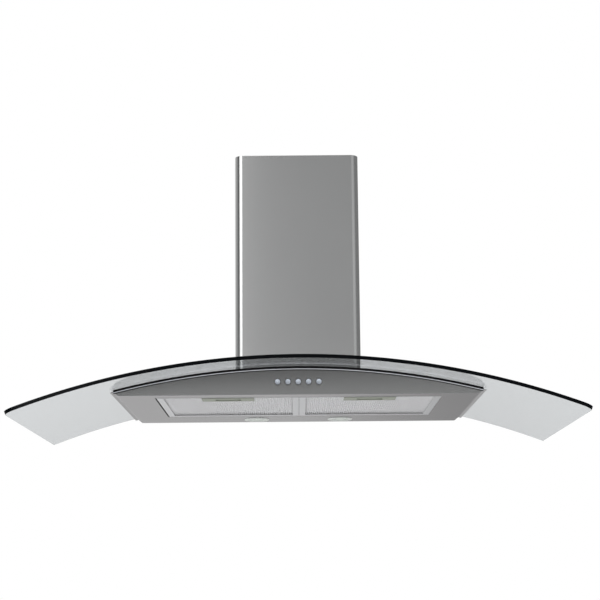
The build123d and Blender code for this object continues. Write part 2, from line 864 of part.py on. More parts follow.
def capacitor():
    body = block(
        -airbox_half - capacitor_thickness,
        -airbox_half,
        capacitor_start,
        capacitor_start + capacitor_depth,
        capacitor_bottom,
        capacitor_bottom + capacitor_height,
    )
    return fillet(body.edges().filter_by(Axis.Z), capacitor_edge)


# ---------------------------------------------------------------- buttons
def switch_module():
    """The switch bank behind the fascia, with a well and a guide bore for each button."""
    stand = (Align.CENTER, Align.CENTER, Align.MIN)
    width = button_pitch * (button_count - 1) + 2 * switch_margin
    depth_middle = -fascia_thickness - switch_depth / 2
    module = on_fascia(0, button_height, depth_middle) * Box(width, switch_height, switch_depth)
    well_floor = -button_rear - button_travel - button_gap
    for x in button_places:
        well = Cylinder(button_radius + button_gap, -well_floor, align=stand)
        module -= on_fascia(x, button_height, well_floor) * well
        end = -button_rear - stem_length - button_travel - button_gap
        guide = Cylinder(stem_radius + stem_gap, -end, align=stand)
        module -= on_fascia(x, button_height, end) * guide
    return module


def button(x):
    """A round cap with a softened rim, and the stem that works its switch."""
    stand = (Align.CENTER, Align.CENTER, Align.MIN)
    cap = Cylinder(button_radius, button_rear + button_proud, align=stand)
    cap = fillet(cap.edges().filter_by(GeomType.CIRCLE).sort_by(Axis.Z)[-1:], button_edge)
    stem = Pos(0, 0, -stem_length) * Cylinder(stem_radius, stem_length, align=stand)
    return on_fascia(x, button_height, -button_rear) * (cap + stem)


# ---------------------------------------------------------------- filters
def filter_span():
    """Inner and outer X of the right-hand filter, before the shift."""
    return filter_middle_gap, opening_half - filter_side_gap


def filter_centre():
    low, high = filter_span()
    return (low + high) / 2


def filter_frame():
    """The rim of the right-hand filter, a channel open inwards, with two tabs at the wall side."""
    low, high = filter_span()
    rear, front = opening_rear + filter_end_gap, opening_front - filter_end_gap
    rim = block(low, high, rear, front, 0, filter_height)
    rim -= block(
        low + filter_wall,
        high - filter_wall,
        rear + filter_wall,
        front - filter_wall,
        filter_wall,
        filter_height - filter_wall,
    )
    rim -= block(
        low + filter_band_side,
        high - filter_band_side,
        rear + filter_band_rear,
        front - filter_band_front,
        -past,
        far,
    )
    for x in (low + tab_inset, high - tab_inset):
        rim += block(
            x - tab_width / 2,
            x + tab_width / 2,
            opening_rear - tab_reach,
            rear + filter_wall,
            tab_height,
            tab_height + tab_thickness,
        )
    return rim - catch_slot(front - 2 * filter_wall, front + past)


def filter_net():
    """The mesh pack, with rows of long diamonds set half a pitch apart: a main sheet, and one on each side of
    the finger recess."""
    low, high = filter_span()
    rear, front = opening_rear + filter_end_gap, opening_front - filter_end_gap
    inset = filter_wall + net_gap
    x0, x1, d0, d1 = low + inset, high - inset, rear + inset, front - inset
    plate = Pos((x0 + x1) / 2, -(d0 + d1) / 2) * Rectangle(x1 - x0, d1 - d0)
    pocket_half = recess_width / 2 + recess_wall + net_gap
    pocket_rear = recess_rear - recess_wall - net_gap
    half_width, half_length = net_hole_width / 2, net_hole_length / 2
    hole = Polygon((-half_width, 0), (0, -half_length), (half_width, 0), (0, half_length), align=None)
    reach_x, reach_d = half_width + net_rim, half_length + net_rim
    left, right = low + filter_band_side + reach_x, high - filter_band_side - reach_x
    near, far_row = rear + filter_band_rear + reach_d, front - filter_band_front - reach_d
    columns, rows = int((right - left) / net_pitch_x) + 1, int((far_row - near) / net_pitch_row) + 1
    spots = []
    for row in range(rows):
        shift = (row % 2) * net_pitch_x / 2
        depth = near + row * net_pitch_row
        for column in range(columns):
            x = left + column * net_pitch_x + shift
            in_pocket = abs(x - filter_centre()) < pocket_half + reach_x and depth + reach_d > pocket_rear
            if x <= right and not in_pocket:
                spots.append(Pos(x, -depth) * hole)
    net = extrude(Plane.XY.offset(filter_wall) * (plate - Sketch(children=spots)), net_thickness)
    centre = filter_centre()
    main = net & block(x0, x1, d0, pocket_rear, 0, far)
    front_strip = net & block(x0, x1, pocket_rear, d1, 0, far)
    beside = front_strip - block(centre - pocket_half, centre + pocket_half, pocket_rear, d1, 0, far)
    return Compound([*main.solids(), *beside.solids()])


def catch_slot(start, end):
    """The way of the catch's bar through a wall."""
    half = catch_width / 2 + catch_gap
    low = tab_height - catch_gap / 2
    centre = filter_centre()
    return block(centre - half, centre + half, start, end, low, tab_height + catch_thickness + catch_gap)


def filter_handle():
    """The catch plate under the front of the filter, with its finger recess."""
    centre, half = filter_centre(), recess_width / 2
    plate = block(
        centre - handle_width / 2, centre + handle_width / 2, handle_rear, handle_front, -handle_thickness, 0
    )
    outer = half + recess_wall
    depths = recess_rear - recess_wall, recess_front + recess_wall
    cup = block(centre - outer, centre + outer, *depths, 0, filter_height)
    top = filter_height - recess_wall
    hollow = block(centre - half, centre + half, recess_rear, recess_front, -2 * handle_thickness, top)
    return plate + cup - hollow - catch_slot(recess_front - past, recess_front + 2 * recess_wall)


def filter_catch():
    """The sliding catch: a finger plate in the recess and a bar that ends in the nose."""
    centre = filter_centre()
    start = recess_rear + finger_offset
    bar = block(
        centre - catch_width / 2,
        centre + catch_width / 2,
        start,
        opening_front - catch_short,
        tab_height,
        tab_height + catch_thickness,
    )
    finger = block(
        centre - finger_width / 2,
        centre + finger_width / 2,
        start,
        start + finger_thickness,
        finger_bottom,
        finger_top,
    )
    return bar + finger


def filter_spring():
    """The small coil that pushes the catch forward."""
    length = finger_offset - 2 * spring_end - spring_wire
    start = at(filter_centre() + spring_offset, recess_rear + spring_end + spring_wire / 2, filter_height / 2)
    coil = Helix(length / spring_turns, length, spring_radius, center=start, direction=(0, -1, 0))
    return sweep(Plane(coil @ 0, z_dir=coil % 0) * Circle(spring_wire / 2), path=coil)


# ---------------------------------------------------------------- lamps
def lamp_line(radius, x, low, high):
    return rod(radius, at(x, lamp_depth, low), at(x, lamp_depth, high))


def lamp_trim(x):
    """The turned ring round the lamp, with a lip that holds the lens."""
    ring = lamp_line(lamp_flange_radius, x, -lamp_flange_thickness, 0)
    ring = fillet(ring.edges().filter_by(GeomType.CIRCLE).sort_by(Axis.Z)[:1], lamp_flange_thickness / 2)
    ring += lamp_line(lamp_neck_radius, x, -lamp_flange_thickness / 2, lamp_neck_height)
    lip_top = -lamp_flange_thickness + lamp_lip_thickness
    return ring - lamp_line(lamp_bore, x, lip_top, far) - lamp_line(lamp_bore - lamp_lip, x, -far, far)


def lamp_lens(x):
    low = -lamp_flange_thickness + lamp_lip_thickness
    return lamp_line(lamp_bore - lamp_gap, x, low, low + lens_thickness)


def lamp_can(x):
    top = lamp_neck_height + can_height
    shell = lamp_line(lamp_neck_radius, x, lamp_neck_height, top)
    return shell - lamp_line(lamp_neck_radius - can_wall, x, 0, top - can_wall)


def lamp_bulb(x):
    top = lamp_neck_height + can_height - can_wall
    base = lamp_line(socket_radius, x, top - socket_height, top)
    glass = lamp_line(bulb_radius, x, top - socket_height - bulb_length, top - socket_height)
    glass = fillet(glass.edges().filter_by(GeomType.CIRCLE).sort_by(Axis.Z)[:1], bulb_round)
    return base + glass


# ---------------------------------------------------------------- the whole hood
def hood():
    parts = {
        "canopy_pan": canopy_pan(),
        "canopy_back": canopy_back(),
        "canopy_side_left": canopy_side(-1),
        "canopy_side_right": canopy_side(1),
        "top_plate": top_plate(),
        "control_fascia": control_fascia(),
        "fascia_trim": fascia_trim(),
        "glass_gasket": glass_gasket(),
        "glass_panel": glass_panel(),
        "glass_bushes": glass_bushes(),
        "glass_screws": glass_screws(),
        "lower_chimney": lower_chimney(),
        "upper_chimney": upper_chimney(),
        "chimney_clips": chimney_clips(),
        "chimney_screws": chimney_screws(),
        "chimney_bracket": chimney_bracket(),
        "bracket_screws": bracket_screws(),
        "airbox_shell": airbox_shell(),
        "airbox_lid": airbox_lid(),
        "airbox_screws": airbox_screws(),
        "scroll_band": scroll_band(),
        "scroll_side_left": scroll_side(-1),
        "scroll_side_right": scroll_side(1),
        "impeller": impeller(),
        "motor_shaft": motor_shaft(),
        "motor": motor(),
        "motor_mount": motor_mount(),
        "motor_screws": motor_screws(),
        "outlet_collar": outlet_collar(),
        "collar_screws": collar_screws(),
        "damper_pin": damper_pin(),
        "damper_flap_front": damper_flap(True),
        "damper_flap_rear": damper_flap(False),
        "junction_box": junction_box(),
        "cable_gland": cable_gland(),
        "capacitor": capacitor(),
        "switch_module": switch_module(),
    }
    for n, x in enumerate(button_places):
        parts[f"button_{n + 1}"] = button(x)
    for name, make in (
        ("frame", filter_frame),
        ("net", filter_net),
        ("handle", filter_handle),
        ("catch", filter_catch),
        ("spring", filter_spring),
    ):
        piece = make()
        parts[f"filter_right_{name}"] = Pos(filter_shift, 0) * piece
        parts[f"filter_left_{name}"] = Pos(filter_shift, 0) * mirror(piece, Plane.YZ)
    for side, x in zip(("left", "right"), lamp_places):
        parts[f"lamp_{side}_trim"] = lamp_trim(x)
        parts[f"lamp_{side}_lens"] = lamp_lens(x)
        parts[f"lamp_{side}_can"] = lamp_can(x)
        parts[f"lamp_{side}_bulb"] = lamp_bulb(x)
    return parts


os.makedirs("parts", exist_ok=True)
for node, shape in hood().items():
    export_step(shape, f"parts/{node}.step")
    print(f"{node}: {len(shape.solids())} solid(s), {shape.volume / 1000:.2f} cm3")
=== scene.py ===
"""Curved glass range hood: visible surfaces, finishes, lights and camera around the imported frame.

Lengths are metres in the frame's axes: X to the user's right, Y into the wall and Z up. The wall is the
plane Y = 0 and the canopy's flat underside is the plane Z = 0. A depth is a distance from the wall towards
the user.
"""
import math

import bmesh
import bpy
import numpy as np
from bpy.props import FloatProperty, FloatVectorProperty, IntProperty, PointerProperty
from mathutils import Matrix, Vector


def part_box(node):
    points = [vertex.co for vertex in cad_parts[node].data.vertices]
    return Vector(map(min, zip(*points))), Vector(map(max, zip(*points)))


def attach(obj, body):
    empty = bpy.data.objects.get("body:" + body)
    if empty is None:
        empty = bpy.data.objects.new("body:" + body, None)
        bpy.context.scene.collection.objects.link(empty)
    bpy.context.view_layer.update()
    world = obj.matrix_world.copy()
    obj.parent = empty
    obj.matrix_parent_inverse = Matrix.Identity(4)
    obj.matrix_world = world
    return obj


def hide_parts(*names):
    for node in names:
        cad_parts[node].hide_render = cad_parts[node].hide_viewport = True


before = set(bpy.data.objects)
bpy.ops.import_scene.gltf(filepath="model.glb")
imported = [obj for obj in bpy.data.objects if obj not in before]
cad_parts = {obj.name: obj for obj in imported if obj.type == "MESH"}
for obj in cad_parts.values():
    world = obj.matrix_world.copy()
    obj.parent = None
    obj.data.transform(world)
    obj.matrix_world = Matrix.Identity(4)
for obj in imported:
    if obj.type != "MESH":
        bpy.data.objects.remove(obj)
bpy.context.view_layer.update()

bl_info = {
    "name": "Curved glass range hood",
    "version": (1, 0, 0),
    "blender": (4, 5, 0),
    "location": "3D View > Sidebar > Hood",
    "description": "Builds the surfaces, finishes, lights and camera of a range hood with a curved glass",
    "category": "Object",
}

MM = 0.001
SIDES = ("left", "right")
SAME_POINT = 0.002 * MM          # points nearer than this are one point
SHORTEST_EDGE = 0.001 * MM       # edges shorter than this are dropped
SHARP = 35.0                     # degrees: steeper edges are shaded sharp, and are the ones that are rounded
FLAT = 0.05                      # degrees: faces that differ by less lie in one plane
FINE_EDGE = 0.2 * MM             # widths of the softened edges: polished and folded thin sheet,
SHEET_EDGE = 0.25 * MM           # cut sheet and thin plastic,
PLATE_EDGE = 0.3 * MM            # rims, brackets and moulded plates,
SCREW_EDGE = 0.4 * MM            # screws and small housings,
WIDE_EDGE = 0.6 * MM             # the fascia and the painted motor

# directions across the grain of the brushed sheets, for level and for upright ones
ACROSS_LEVEL = (0.02, 1.0, 0.02)
ACROSS_UPRIGHT = (0.02, 0.02, 1.0)


# ---------------------------------------------------------------- settings
def length(name, description, millimetres):
    return FloatProperty(name=name, description=description, default=millimetres * MM, unit="LENGTH",
                         precision=5, min=0.0)


def shade(name, description, colour):
    return FloatVectorProperty(name=name, description=description, default=colour, size=3,
                               subtype="COLOR", min=0.0, max=1.0)


def number(name, description, value, low=0.0, high=10.0):
    return FloatProperty(name=name, description=description, default=value, min=low, max=high)


class HoodSteel(bpy.types.PropertyGroup):
    canopy: shade("Canopy", "Colour of the brushed canopy sheet", (0.50, 0.495, 0.50))
    fascia: shade("Fascia", "Colour of the finer brushed control strip", (0.48, 0.485, 0.485))
    chimney: shade("Chimney", "Colour of the chimney covers", (0.51, 0.515, 0.515))
    galvanised: shade("Galvanised", "Colour of the zinc-coated inner sheets", (0.50, 0.52, 0.53))
    roughness: number("Roughness", "Average roughness of the brushed sheets", 0.25, 0.0, 1.0)
    grain: number("Grain", "How strongly the brushing stretches a highlight", 0.90, 0.0, 1.0)
    bow: number("Bow", "How fast the fascia's normal leans from its foot to its top, per metre", 2.0)
    bead_height: length("Bead height", "Height of the bead over the fascia", 5.0)
    bead_proud: length("Bead proud", "How far the bead stands in front of the fascia", 2.0)
    # The bead's bright band is painted light: chrome goes only on faces whose normal has at least this cosine
    # with the outward direction
    painted_lit_band: number("Inlay", "How squarely the bead's bright inlay faces forward, as a cosine", 0.9, 0.0, 1.0)
    corner: length("Chimney corner", "Radius of the folds of the lower chimney cover", 16.0)
    sheet: length("Sheet", "Thickness of the steel sheets", 1.0)
    lip: length("Rear lip", "Width of the chimney's turned-in rear edges", 12.0)


class HoodGlass(bpy.types.PropertyGroup):
    thickness: length("Thickness", "Thickness of the bent sheet", 7.0)
    corner: length("Corner", "Radius of the two front corners, seen from above", 18.0)
    notch_gap: length("Notch gap", "Gap between the rear notch and the blower's foot", 2.0)
    tint: shade("Tint", "Colour of the light that passes the sheet", (0.86, 0.885, 0.90))
    # Near-black colour given to the front edge's faces that look towards the user; the side and rear edges
    # stay clear
    edge: shade("Front edge", "Colour of the smoked front edge", (0.002, 0.003, 0.004))


class HoodButtons(bpy.types.PropertyGroup):
    radius: length("Radius", "Radius of a cap", 5.7)
    proud: length("Proud", "How far a cap stands in front of the fascia", 5.0)
    rear: length("Rear", "How far a cap reaches behind the fascia's face", 6.0)
    rim: length("Rim", "Radius of the softened rim", 0.6)
    dome: length("Dome", "How far the middle of the face bulges", 0.7)
    stem_radius: length("Stem radius", "Radius of the stem that works the switch", 3.0)
    stem_length: length("Stem length", "Length of the stem", 20.0)


class HoodFilters(bpy.types.PropertyGroup):
    pitch: length("Pitch", "Width of a diamond of the mesh", 6.5)
    diamond: length("Diamond", "Length of a diamond of the mesh", 11.0)
    strand: length("Strand", "Width of a strand", 0.4)
    gauge: length("Gauge", "Thickness of a strand", 0.15)
    ridge: length("Ridge", "Height of the ridges of the inner layer", 3.8)
    fold: length("Fold", "Width of a ridge of the inner layer", 4.4)
    metal: shade("Metal", "Colour of the aluminium rims", (0.78, 0.785, 0.80))
    mesh: shade("Mesh", "Colour of the mesh and the inner layer", (0.98, 0.98, 1.0))
    handle: shade("Handle", "Colour of the catch plates", (0.37, 0.395, 0.33))


class HoodLamps(bpy.types.PropertyGroup):
    rings: IntProperty(name="Rings", description="Concentric prisms in a lens", default=7, min=1, max=30)
    prism: length("Prism", "Depth of the lens's prisms", 0.25)
    lens: shade("Lens", "Colour of the frosted lens", (0.90, 0.96, 0.90))


class HoodStage(bpy.types.PropertyGroup):
    floor_drop: length("Floor drop", "From the underside down to the floor", 750.0)
    ambient: number("Ambient", "Level of the surrounding light on matt surfaces", 0.72)
    key: number("Key", "Power of the large soft light above the user, in watts", 14.0, 0.0, 1000.0)
    strip: number("Strip", "Level of the bright upright strip that metals mirror at the left", 2.7)
    apron: number("Apron", "Level of the floor near the wall that metals mirror", 1.0)
    ceiling: number("Ceiling", "Share of the studio's light that comes from overhead", 0.30, 0.0, 2.0)
    ground: number("Ground", "Share of the low light that is left near the user's feet", 0.06, 0.0, 2.0)
    focal: length("Focal length", "Focal length of the camera", 76.93)
    shift: number("Shift", "Upward shift of the camera's picture, as a share of its width", 0.1665, -1.0,
                  1.0)
    camera_x: FloatProperty(name="Camera X", description="From the middle to the camera", default=-0.00263,
                            unit="LENGTH")
    camera_depth: length("Camera depth", "From the wall to the camera", 2854.0)
    camera_drop: length("Camera drop", "From the underside down to the camera", 382.5)
    pitch: FloatProperty(name="Pitch", description="Upward tilt of the camera", default=0.1503,
                         subtype="ANGLE")
    yaw: FloatProperty(name="Yaw", description="Turn of the camera to the right", default=0.0023,
                       subtype="ANGLE")
    roll: FloatProperty(name="Roll", description="Roll of the camera", default=-0.00876, subtype="ANGLE")


class HoodSettings(bpy.types.PropertyGroup):
    steel: PointerProperty(type=HoodSteel)
    glass: PointerProperty(type=HoodGlass)
    buttons: PointerProperty(type=HoodButtons)
    filters: PointerProperty(type=HoodFilters)
    lamps: PointerProperty(type=HoodLamps)
    stage: PointerProperty(type=HoodStage)


# ---------------------------------------------------------------- places taken from the frame
def low(name):
    return np.array(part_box(name)[0])


def high(name):
    return np.array(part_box(name)[1])


def middle(name):
    return (low(name) + high(name)) / 2


def bend():
    """Centre height and radius of the arc that the glass's underside follows: from the half width a and the
    rise s of the arc, the radius is (a*a + s*s) / (2*s)."""
    half = high("glass_panel")[0]
    crown = high("glass_panel")[2] - bpy.context.scene.hood.glass.thickness
    rise = crown - low("glass_panel")[2]
    radius = (half * half + rise * rise) / (2 * rise)
    return crown - radius, radius


def arc_height(offset, x):
    """Height at x of the arc that runs this far outside the glass's underside."""
    centre, radius = bend()
    return centre + np.sqrt((radius + offset) ** 2 - np.asarray(x, float) ** 2)


def fascia_axes():
    """The middle of the foot of the fascia's face, the face's outward normal, and its upward direction. The
    face leans forward as it rises, so its slope is the lean over the height of the middle."""
    points = corners_of("control_fascia")
    foot_level = 0.2 * MM
    foot = -points[points[:, 2] < foot_level][:, 1].min()
    top = high("control_fascia")[2]
    lean = math.atan2(-low("control_fascia")[1] - foot, top)
    return (np.array([0.0, -foot, 0.0]), np.array([0.0, -math.cos(lean), -math.sin(lean)]),
            np.array([0.0, -math.sin(lean), math.cos(lean)]))


def corners_of(name):
    """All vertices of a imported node, as an array."""
    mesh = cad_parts[name].data
    points = np.empty(len(mesh.vertices) * 3, np.float32)
    mesh.vertices.foreach_get("co", points)
    return points.reshape(-1, 3).astype(float)


# ---------------------------------------------------------------- surfaces
def grid_faces(rows, columns, wrap_columns=False):
    """Quads of a grid of points that is stored row by row; wrapped columns join the last one to the first."""
    row, column = np.meshgrid(np.arange(rows - 1), np.arange(columns if wrap_columns else columns - 1),
                              indexing="ij")
    next_row, next_column = row + 1, (column + 1) % columns
    quads = [row * columns + column, next_row * columns + column,
             next_row * columns + next_column, row * columns + next_column]
    return np.stack(quads, -1).reshape(-1, 4)


def add_piece(name, shells, body, materials, replaces, sharp=SHARP, which=None):
    """Makes one object from shells, which are pairs of points and faces, and ties it to its body. which gives
    the material's number for the middle and normal of each face."""
    mesh = bpy.data.meshes.new(name)
    points, faces, start = [], [], 0
    for shell_points, shell_faces in shells:
        shell_points = np.asarray(shell_points, float).reshape(-1, 3)
        points.append(shell_points)
        faces += [[start + i for i in face] for face in shell_faces]
        start += len(shell_points)
    mesh.from_pydata(np.concatenate(points).tolist(), [], faces)
    shape = bmesh.new()
    shape.from_mesh(mesh)
    bmesh.ops.remove_doubles(shape, verts=shape.verts, dist=SAME_POINT)
    bmesh.ops.dissolve_degenerate(shape, edges=shape.edges, dist=SHORTEST_EDGE)
    bmesh.ops.recalc_face_normals(shape, faces=shape.faces)
    shape.to_mesh(mesh)
    shape.free()
    for material in materials:
        mesh.materials.append(material)
    if which is not None:
        count = len(mesh.polygons)
        middles, normals = np.empty(count * 3), np.empty(count * 3)
        mesh.polygons.foreach_get("center", middles)
        mesh.polygons.foreach_get("normal", normals)
        mesh.polygons.foreach_set("material_index", which(middles.reshape(-1, 3), normals.reshape(-1, 3)))
    mesh.polygons.foreach_set("use_smooth", np.ones(len(mesh.polygons), bool))
    mesh.set_sharp_from_angle(angle=math.radians(sharp))
    mesh.update()
    piece = bpy.data.objects.new(name, mesh)
    bpy.context.scene.collection.objects.link(piece)
    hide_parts(*replaces)
    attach(piece, body)
    return piece


def soften(piece, width, flat=False):
    """Rounds the sharp edges of a piece with a Bevel modifier, and keeps flat faces' shading if asked."""
    bevel = piece.modifiers.new("edges", "BEVEL")
    bevel.width = width
    bevel.segments = 2
    bevel.limit_method = "ANGLE"
    bevel.angle_limit = math.radians(SHARP)
    bevel.harden_normals = flat


def turned(profile, origin, axis, steps):
    """A closed surface of revolution: each point (r, h) of the profile goes round the axis at radius r and
    height h, so a point at angle t is origin + h*axis + r*(cos t * first + sin t * second)."""
    profile = np.asarray(profile, float)
    axis = np.asarray(axis, float) / np.linalg.norm(axis)
    nearly_upright = 0.9
    first = np.cross(axis, [0.0, 0.0, 1.0] if abs(axis[2]) < nearly_upright else [0.0, 1.0, 0.0])
    first /= np.linalg.norm(first)
    second = np.cross(axis, first)
    angle = np.linspace(0, 2 * math.pi, steps, endpoint=False)
    ring = np.cos(angle)[:, None] * first + np.sin(angle)[:, None] * second
    points = (np.asarray(origin, float) + profile[:, None, 1:] * axis + profile[:, None, :1] * ring[None])
    return points, grid_faces(len(profile), steps, wrap_columns=True)


def carried(section, path, across, upward):
    """A closed section carried along a path: point (a, b) of the section lies at path + a*across + b*upward.
    Both ends are closed with one face each."""
    section = np.asarray(section, float)
    path = np.asarray(path, float)
    across = np.broadcast_to(across, path.shape)
    upward = np.broadcast_to(upward, path.shape)
    points = (path[:, None] + section[None, :, :1] * across[:, None]
              + section[None, :, 1:] * upward[:, None])
    rows, columns = len(path), len(section)
    faces = grid_faces(rows, columns, wrap_columns=True).tolist()
    faces += [list(range(columns)), list(range((rows - 1) * columns, rows * columns))]
    return points, faces


def round_corner(centre, radius, start, end, steps):
    """Points of an arc in a plane: centre + radius * (cos t, sin t) for t from start to end degrees."""
    angle = np.radians(np.linspace(start, end, steps))
    return np.asarray(centre)[None] + radius * np.stack([np.cos(angle), np.sin(angle)], -1)


# ---------------------------------------------------------------- finishes
def new_material(name):
    """A material with its node tree and its Principled shader."""
    material = bpy.data.materials.new(name)
    material.use_nodes = True
    tree = material.node_tree
    return material, tree, tree.nodes["Principled BSDF"]


def node(tree, kind, **values):
    """A node with its unlinked inputs set by name."""
    made = tree.nodes.new(kind)
    for name, value in values.items():
        made.inputs[name].default_value = value
    return made


def pattern(tree, texture, scale):
    """Feeds a texture with Object coordinates stretched by a scale for each axis."""
    coordinates = tree.nodes.new("ShaderNodeTexCoord")
    mapping = node(tree, "ShaderNodeMapping", Scale=scale)
    tree.links.new(coordinates.outputs["Object"], mapping.inputs["Vector"])
    tree.links.new(mapping.outputs["Vector"], texture.inputs["Vector"])
    return texture


def noise(tree, scale, detail=2.0, roughness=0.5):
    """Soft noise with this many waves in a metre along each axis."""
    texture = node(tree, "ShaderNodeTexNoise", Scale=1.0, Detail=detail, Roughness=roughness)
    return pattern(tree, texture, scale).outputs["Fac"]


def cells(tree, per_metre, output):
    """Cells of a Voronoi pattern: their colour, or the distance from their middles."""
    return pattern(tree, node(tree, "ShaderNodeTexVoronoi", Scale=1.0), (per_metre,) * 3).outputs[output]


def arithmetic(tree, operation, first, second):
    """A Math node on two sockets or numbers."""
    made = tree.nodes.new("ShaderNodeMath")
    made.operation = operation
    for socket, value in zip(made.inputs, (first, second)):
        if isinstance(value, (int, float)):
            socket.default_value = value
        else:
            tree.links.new(value, socket)
    return made.outputs["Value"]


def map_range(tree, value, start, end, first, last, way="LINEAR"):
    """Goes from first to last, and no further, while the value goes from start to end."""
    limits = {"From Min": start, "From Max": end, "To Min": first, "To Max": last}
    spread = node(tree, "ShaderNodeMapRange", **limits)
    spread.interpolation_type = way
    tree.links.new(value, spread.inputs["Value"])
    return spread.outputs["Result"]


def between(tree, texture, first, last):
    """Maps the middle range of a texture, where nearly all of it lies, to a range of values."""
    return map_range(tree, texture, 0.3, 0.7, first, last)


def tinted(tree, factor, colour, amount):
    """The colour made a little darker and lighter by a texture."""
    mix = tree.nodes.new("ShaderNodeMix")
    mix.data_type = "RGBA"
    mix.inputs["A"].default_value = (*[c * (1 - amount) for c in colour], 1)
    mix.inputs["B"].default_value = (*[min(1.0, c * (1 + amount)) for c in colour], 1)
    tree.links.new(factor, mix.inputs["Factor"])
    return mix.outputs["Result"]


def add_bump(tree, shader, factor, strength, distance):
    """Leans the shader's normal as if the factor raised the surface by up to the distance."""
    bump = node(tree, "ShaderNodeBump", Strength=strength, Distance=distance)
    tree.links.new(factor, bump.inputs["Height"])
    tree.links.new(bump.outputs["Normal"], shader.inputs["Normal"])


def brushed_steel(name, colour, stretch, roughness, anisotropy, bow=None):
    """Steel brushed along X: noise drawn out along X tints it, and the gloss is stretched across the grain,
    in the direction that is given. A bow is a height and a strength: the sheet's normal leans as if the
    sheet rose by half the strength times the square of the distance from that height."""
    material, tree, shader = new_material(name)
    along, across = 7.0, 1500.0
    grain = noise(tree, (along, across, across), detail=3.0, roughness=0.6)
    cloud = noise(tree, (3.0, 3.0, 3.0))
    shader.inputs["Metallic"].default_value = 1.0
    shader.inputs["Anisotropic"].default_value = anisotropy
    tree.links.new(tinted(tree, grain, colour, 0.05), shader.inputs["Base Color"])
    cloudiness = 0.02
    tree.links.new(between(tree, cloud, roughness - cloudiness, roughness + cloudiness),
                   shader.inputs["Roughness"])
    direction = node(tree, "ShaderNodeCombineXYZ", X=stretch[0], Y=stretch[1], Z=stretch[2])
    tree.links.new(direction.outputs["Vector"], shader.inputs["Tangent"])
    if bow:
        coordinates = tree.nodes.new("ShaderNodeTexCoord")
        axes = tree.nodes.new("ShaderNodeSeparateXYZ")
        tree.links.new(coordinates.outputs["Object"], axes.inputs["Vector"])
        away = arithmetic(tree, "SUBTRACT", axes.outputs["Z"], bow[0])
        rise = arithmetic(tree, "MULTIPLY", arithmetic(tree, "MULTIPLY", away, away), bow[1] / 2)
        add_bump(tree, shader, rise, 1.0, 1.0)
    return material


def plain_metal(name, colour, roughness, scale=400.0, spread=0.04, metallic=1.0):
    """Even metal, or silver lacquer, with slight spots in its colour and gloss."""
    material, tree, shader = new_material(name)
    spots = noise(tree, (scale,) * 3, detail=4.0)
    shader.inputs["Metallic"].default_value = metallic
    tree.links.new(tinted(tree, spots, colour, 0.05), shader.inputs["Base Color"])
    gloss = between(tree, spots, roughness - spread, roughness + spread)
    tree.links.new(gloss, shader.inputs["Roughness"])
    return material


def galvanised_sheet(name, colour):
    """Zinc-coated sheet: the crystals are cells of unlike lightness and gloss."""
    material, tree, shader = new_material(name)
    crystals_per_metre = 120.0
    grey = tree.nodes.new("ShaderNodeRGBToBW")
    tree.links.new(cells(tree, crystals_per_metre, "Color"), grey.inputs["Color"])
    shader.inputs["Metallic"].default_value = 1.0
    tree.links.new(tinted(tree, grey.outputs["Val"], colour, 0.14), shader.inputs["Base Color"])
    tree.links.new(between(tree, grey.outputs["Val"], 0.36, 0.52), shader.inputs["Roughness"])
    return material


def moulded(name, colour, roughness=0.45, grain=1400.0, bump=0.15, gloss=0.5):
    """Moulded plastic or rubber with a fine pebbled skin."""
    material, tree, shader = new_material(name)
    clouds_per_metre, pebble = 18.0, 0.05 * MM
    skin = noise(tree, (grain,) * 3)
    cloud = noise(tree, (clouds_per_metre,) * 3)
    tree.links.new(tinted(tree, cloud, colour, 0.06), shader.inputs["Base Color"])
    tree.links.new(between(tree, skin, roughness - 0.05, roughness + 0.08), shader.inputs["Roughness"])
    add_bump(tree, shader, skin, bump, pebble)
    shader.inputs["Specular IOR Level"].default_value = gloss
    return material


def clear_sheet(name, colour):
    """Toughened glass, with the faintest unevenness in its tint."""
    material, tree, shader = new_material(name)
    cloud = noise(tree, (5.0, 5.0, 5.0))
    tree.links.new(tinted(tree, cloud, colour, 0.01), shader.inputs["Base Color"])
    shader.inputs["Roughness"].default_value = 0.0
    shader.inputs["Transmission Weight"].default_value = 1.0
    shader.inputs["IOR"].default_value = 1.5
    return material


def near_black_edge(name, colour):
    """The dark polished front edge of the glass, with faint grinding marks along it."""
    material, tree, shader = new_material(name)
    marks = noise(tree, (30.0, 900.0, 900.0))
    tree.links.new(tinted(tree, marks, colour, 0.3), shader.inputs["Base Color"])
    tree.links.new(between(tree, marks, 0.06, 0.16), shader.inputs["Roughness"])
    shader.inputs["Specular IOR Level"].default_value = 0.05
    return material


def frosted_lens(name, colour):
    """Pressed glass with fine dimples: mostly milky, and a little clear."""
    material, tree, shader = new_material(name)
    dimples_per_metre, dimple = 900.0, 0.15 * MM
    dimples = cells(tree, dimples_per_metre, "Distance")
    shader.inputs["Base Color"].default_value = (*colour, 1)
    shader.inputs["Transmission Weight"].default_value = 0.20
    shader.inputs["IOR"].default_value = 1.5
    tree.links.new(between(tree, dimples, 0.18, 0.34), shader.inputs["Roughness"])
    add_bump(tree, shader, dimples, 0.25, dimple)
    return material


def capsule_glass(name):
    """The bulb's hazy capsule with its warm white base."""
    material, tree, shader = new_material(name)
    haze = noise(tree, (300.0, 300.0, 300.0))
    tree.links.new(tinted(tree, haze, (0.82, 0.80, 0.74), 0.06), shader.inputs["Base Color"])
    shader.inputs["Roughness"].default_value = 0.2
    shader.inputs["Transmission Weight"].default_value = 0.3
    return material


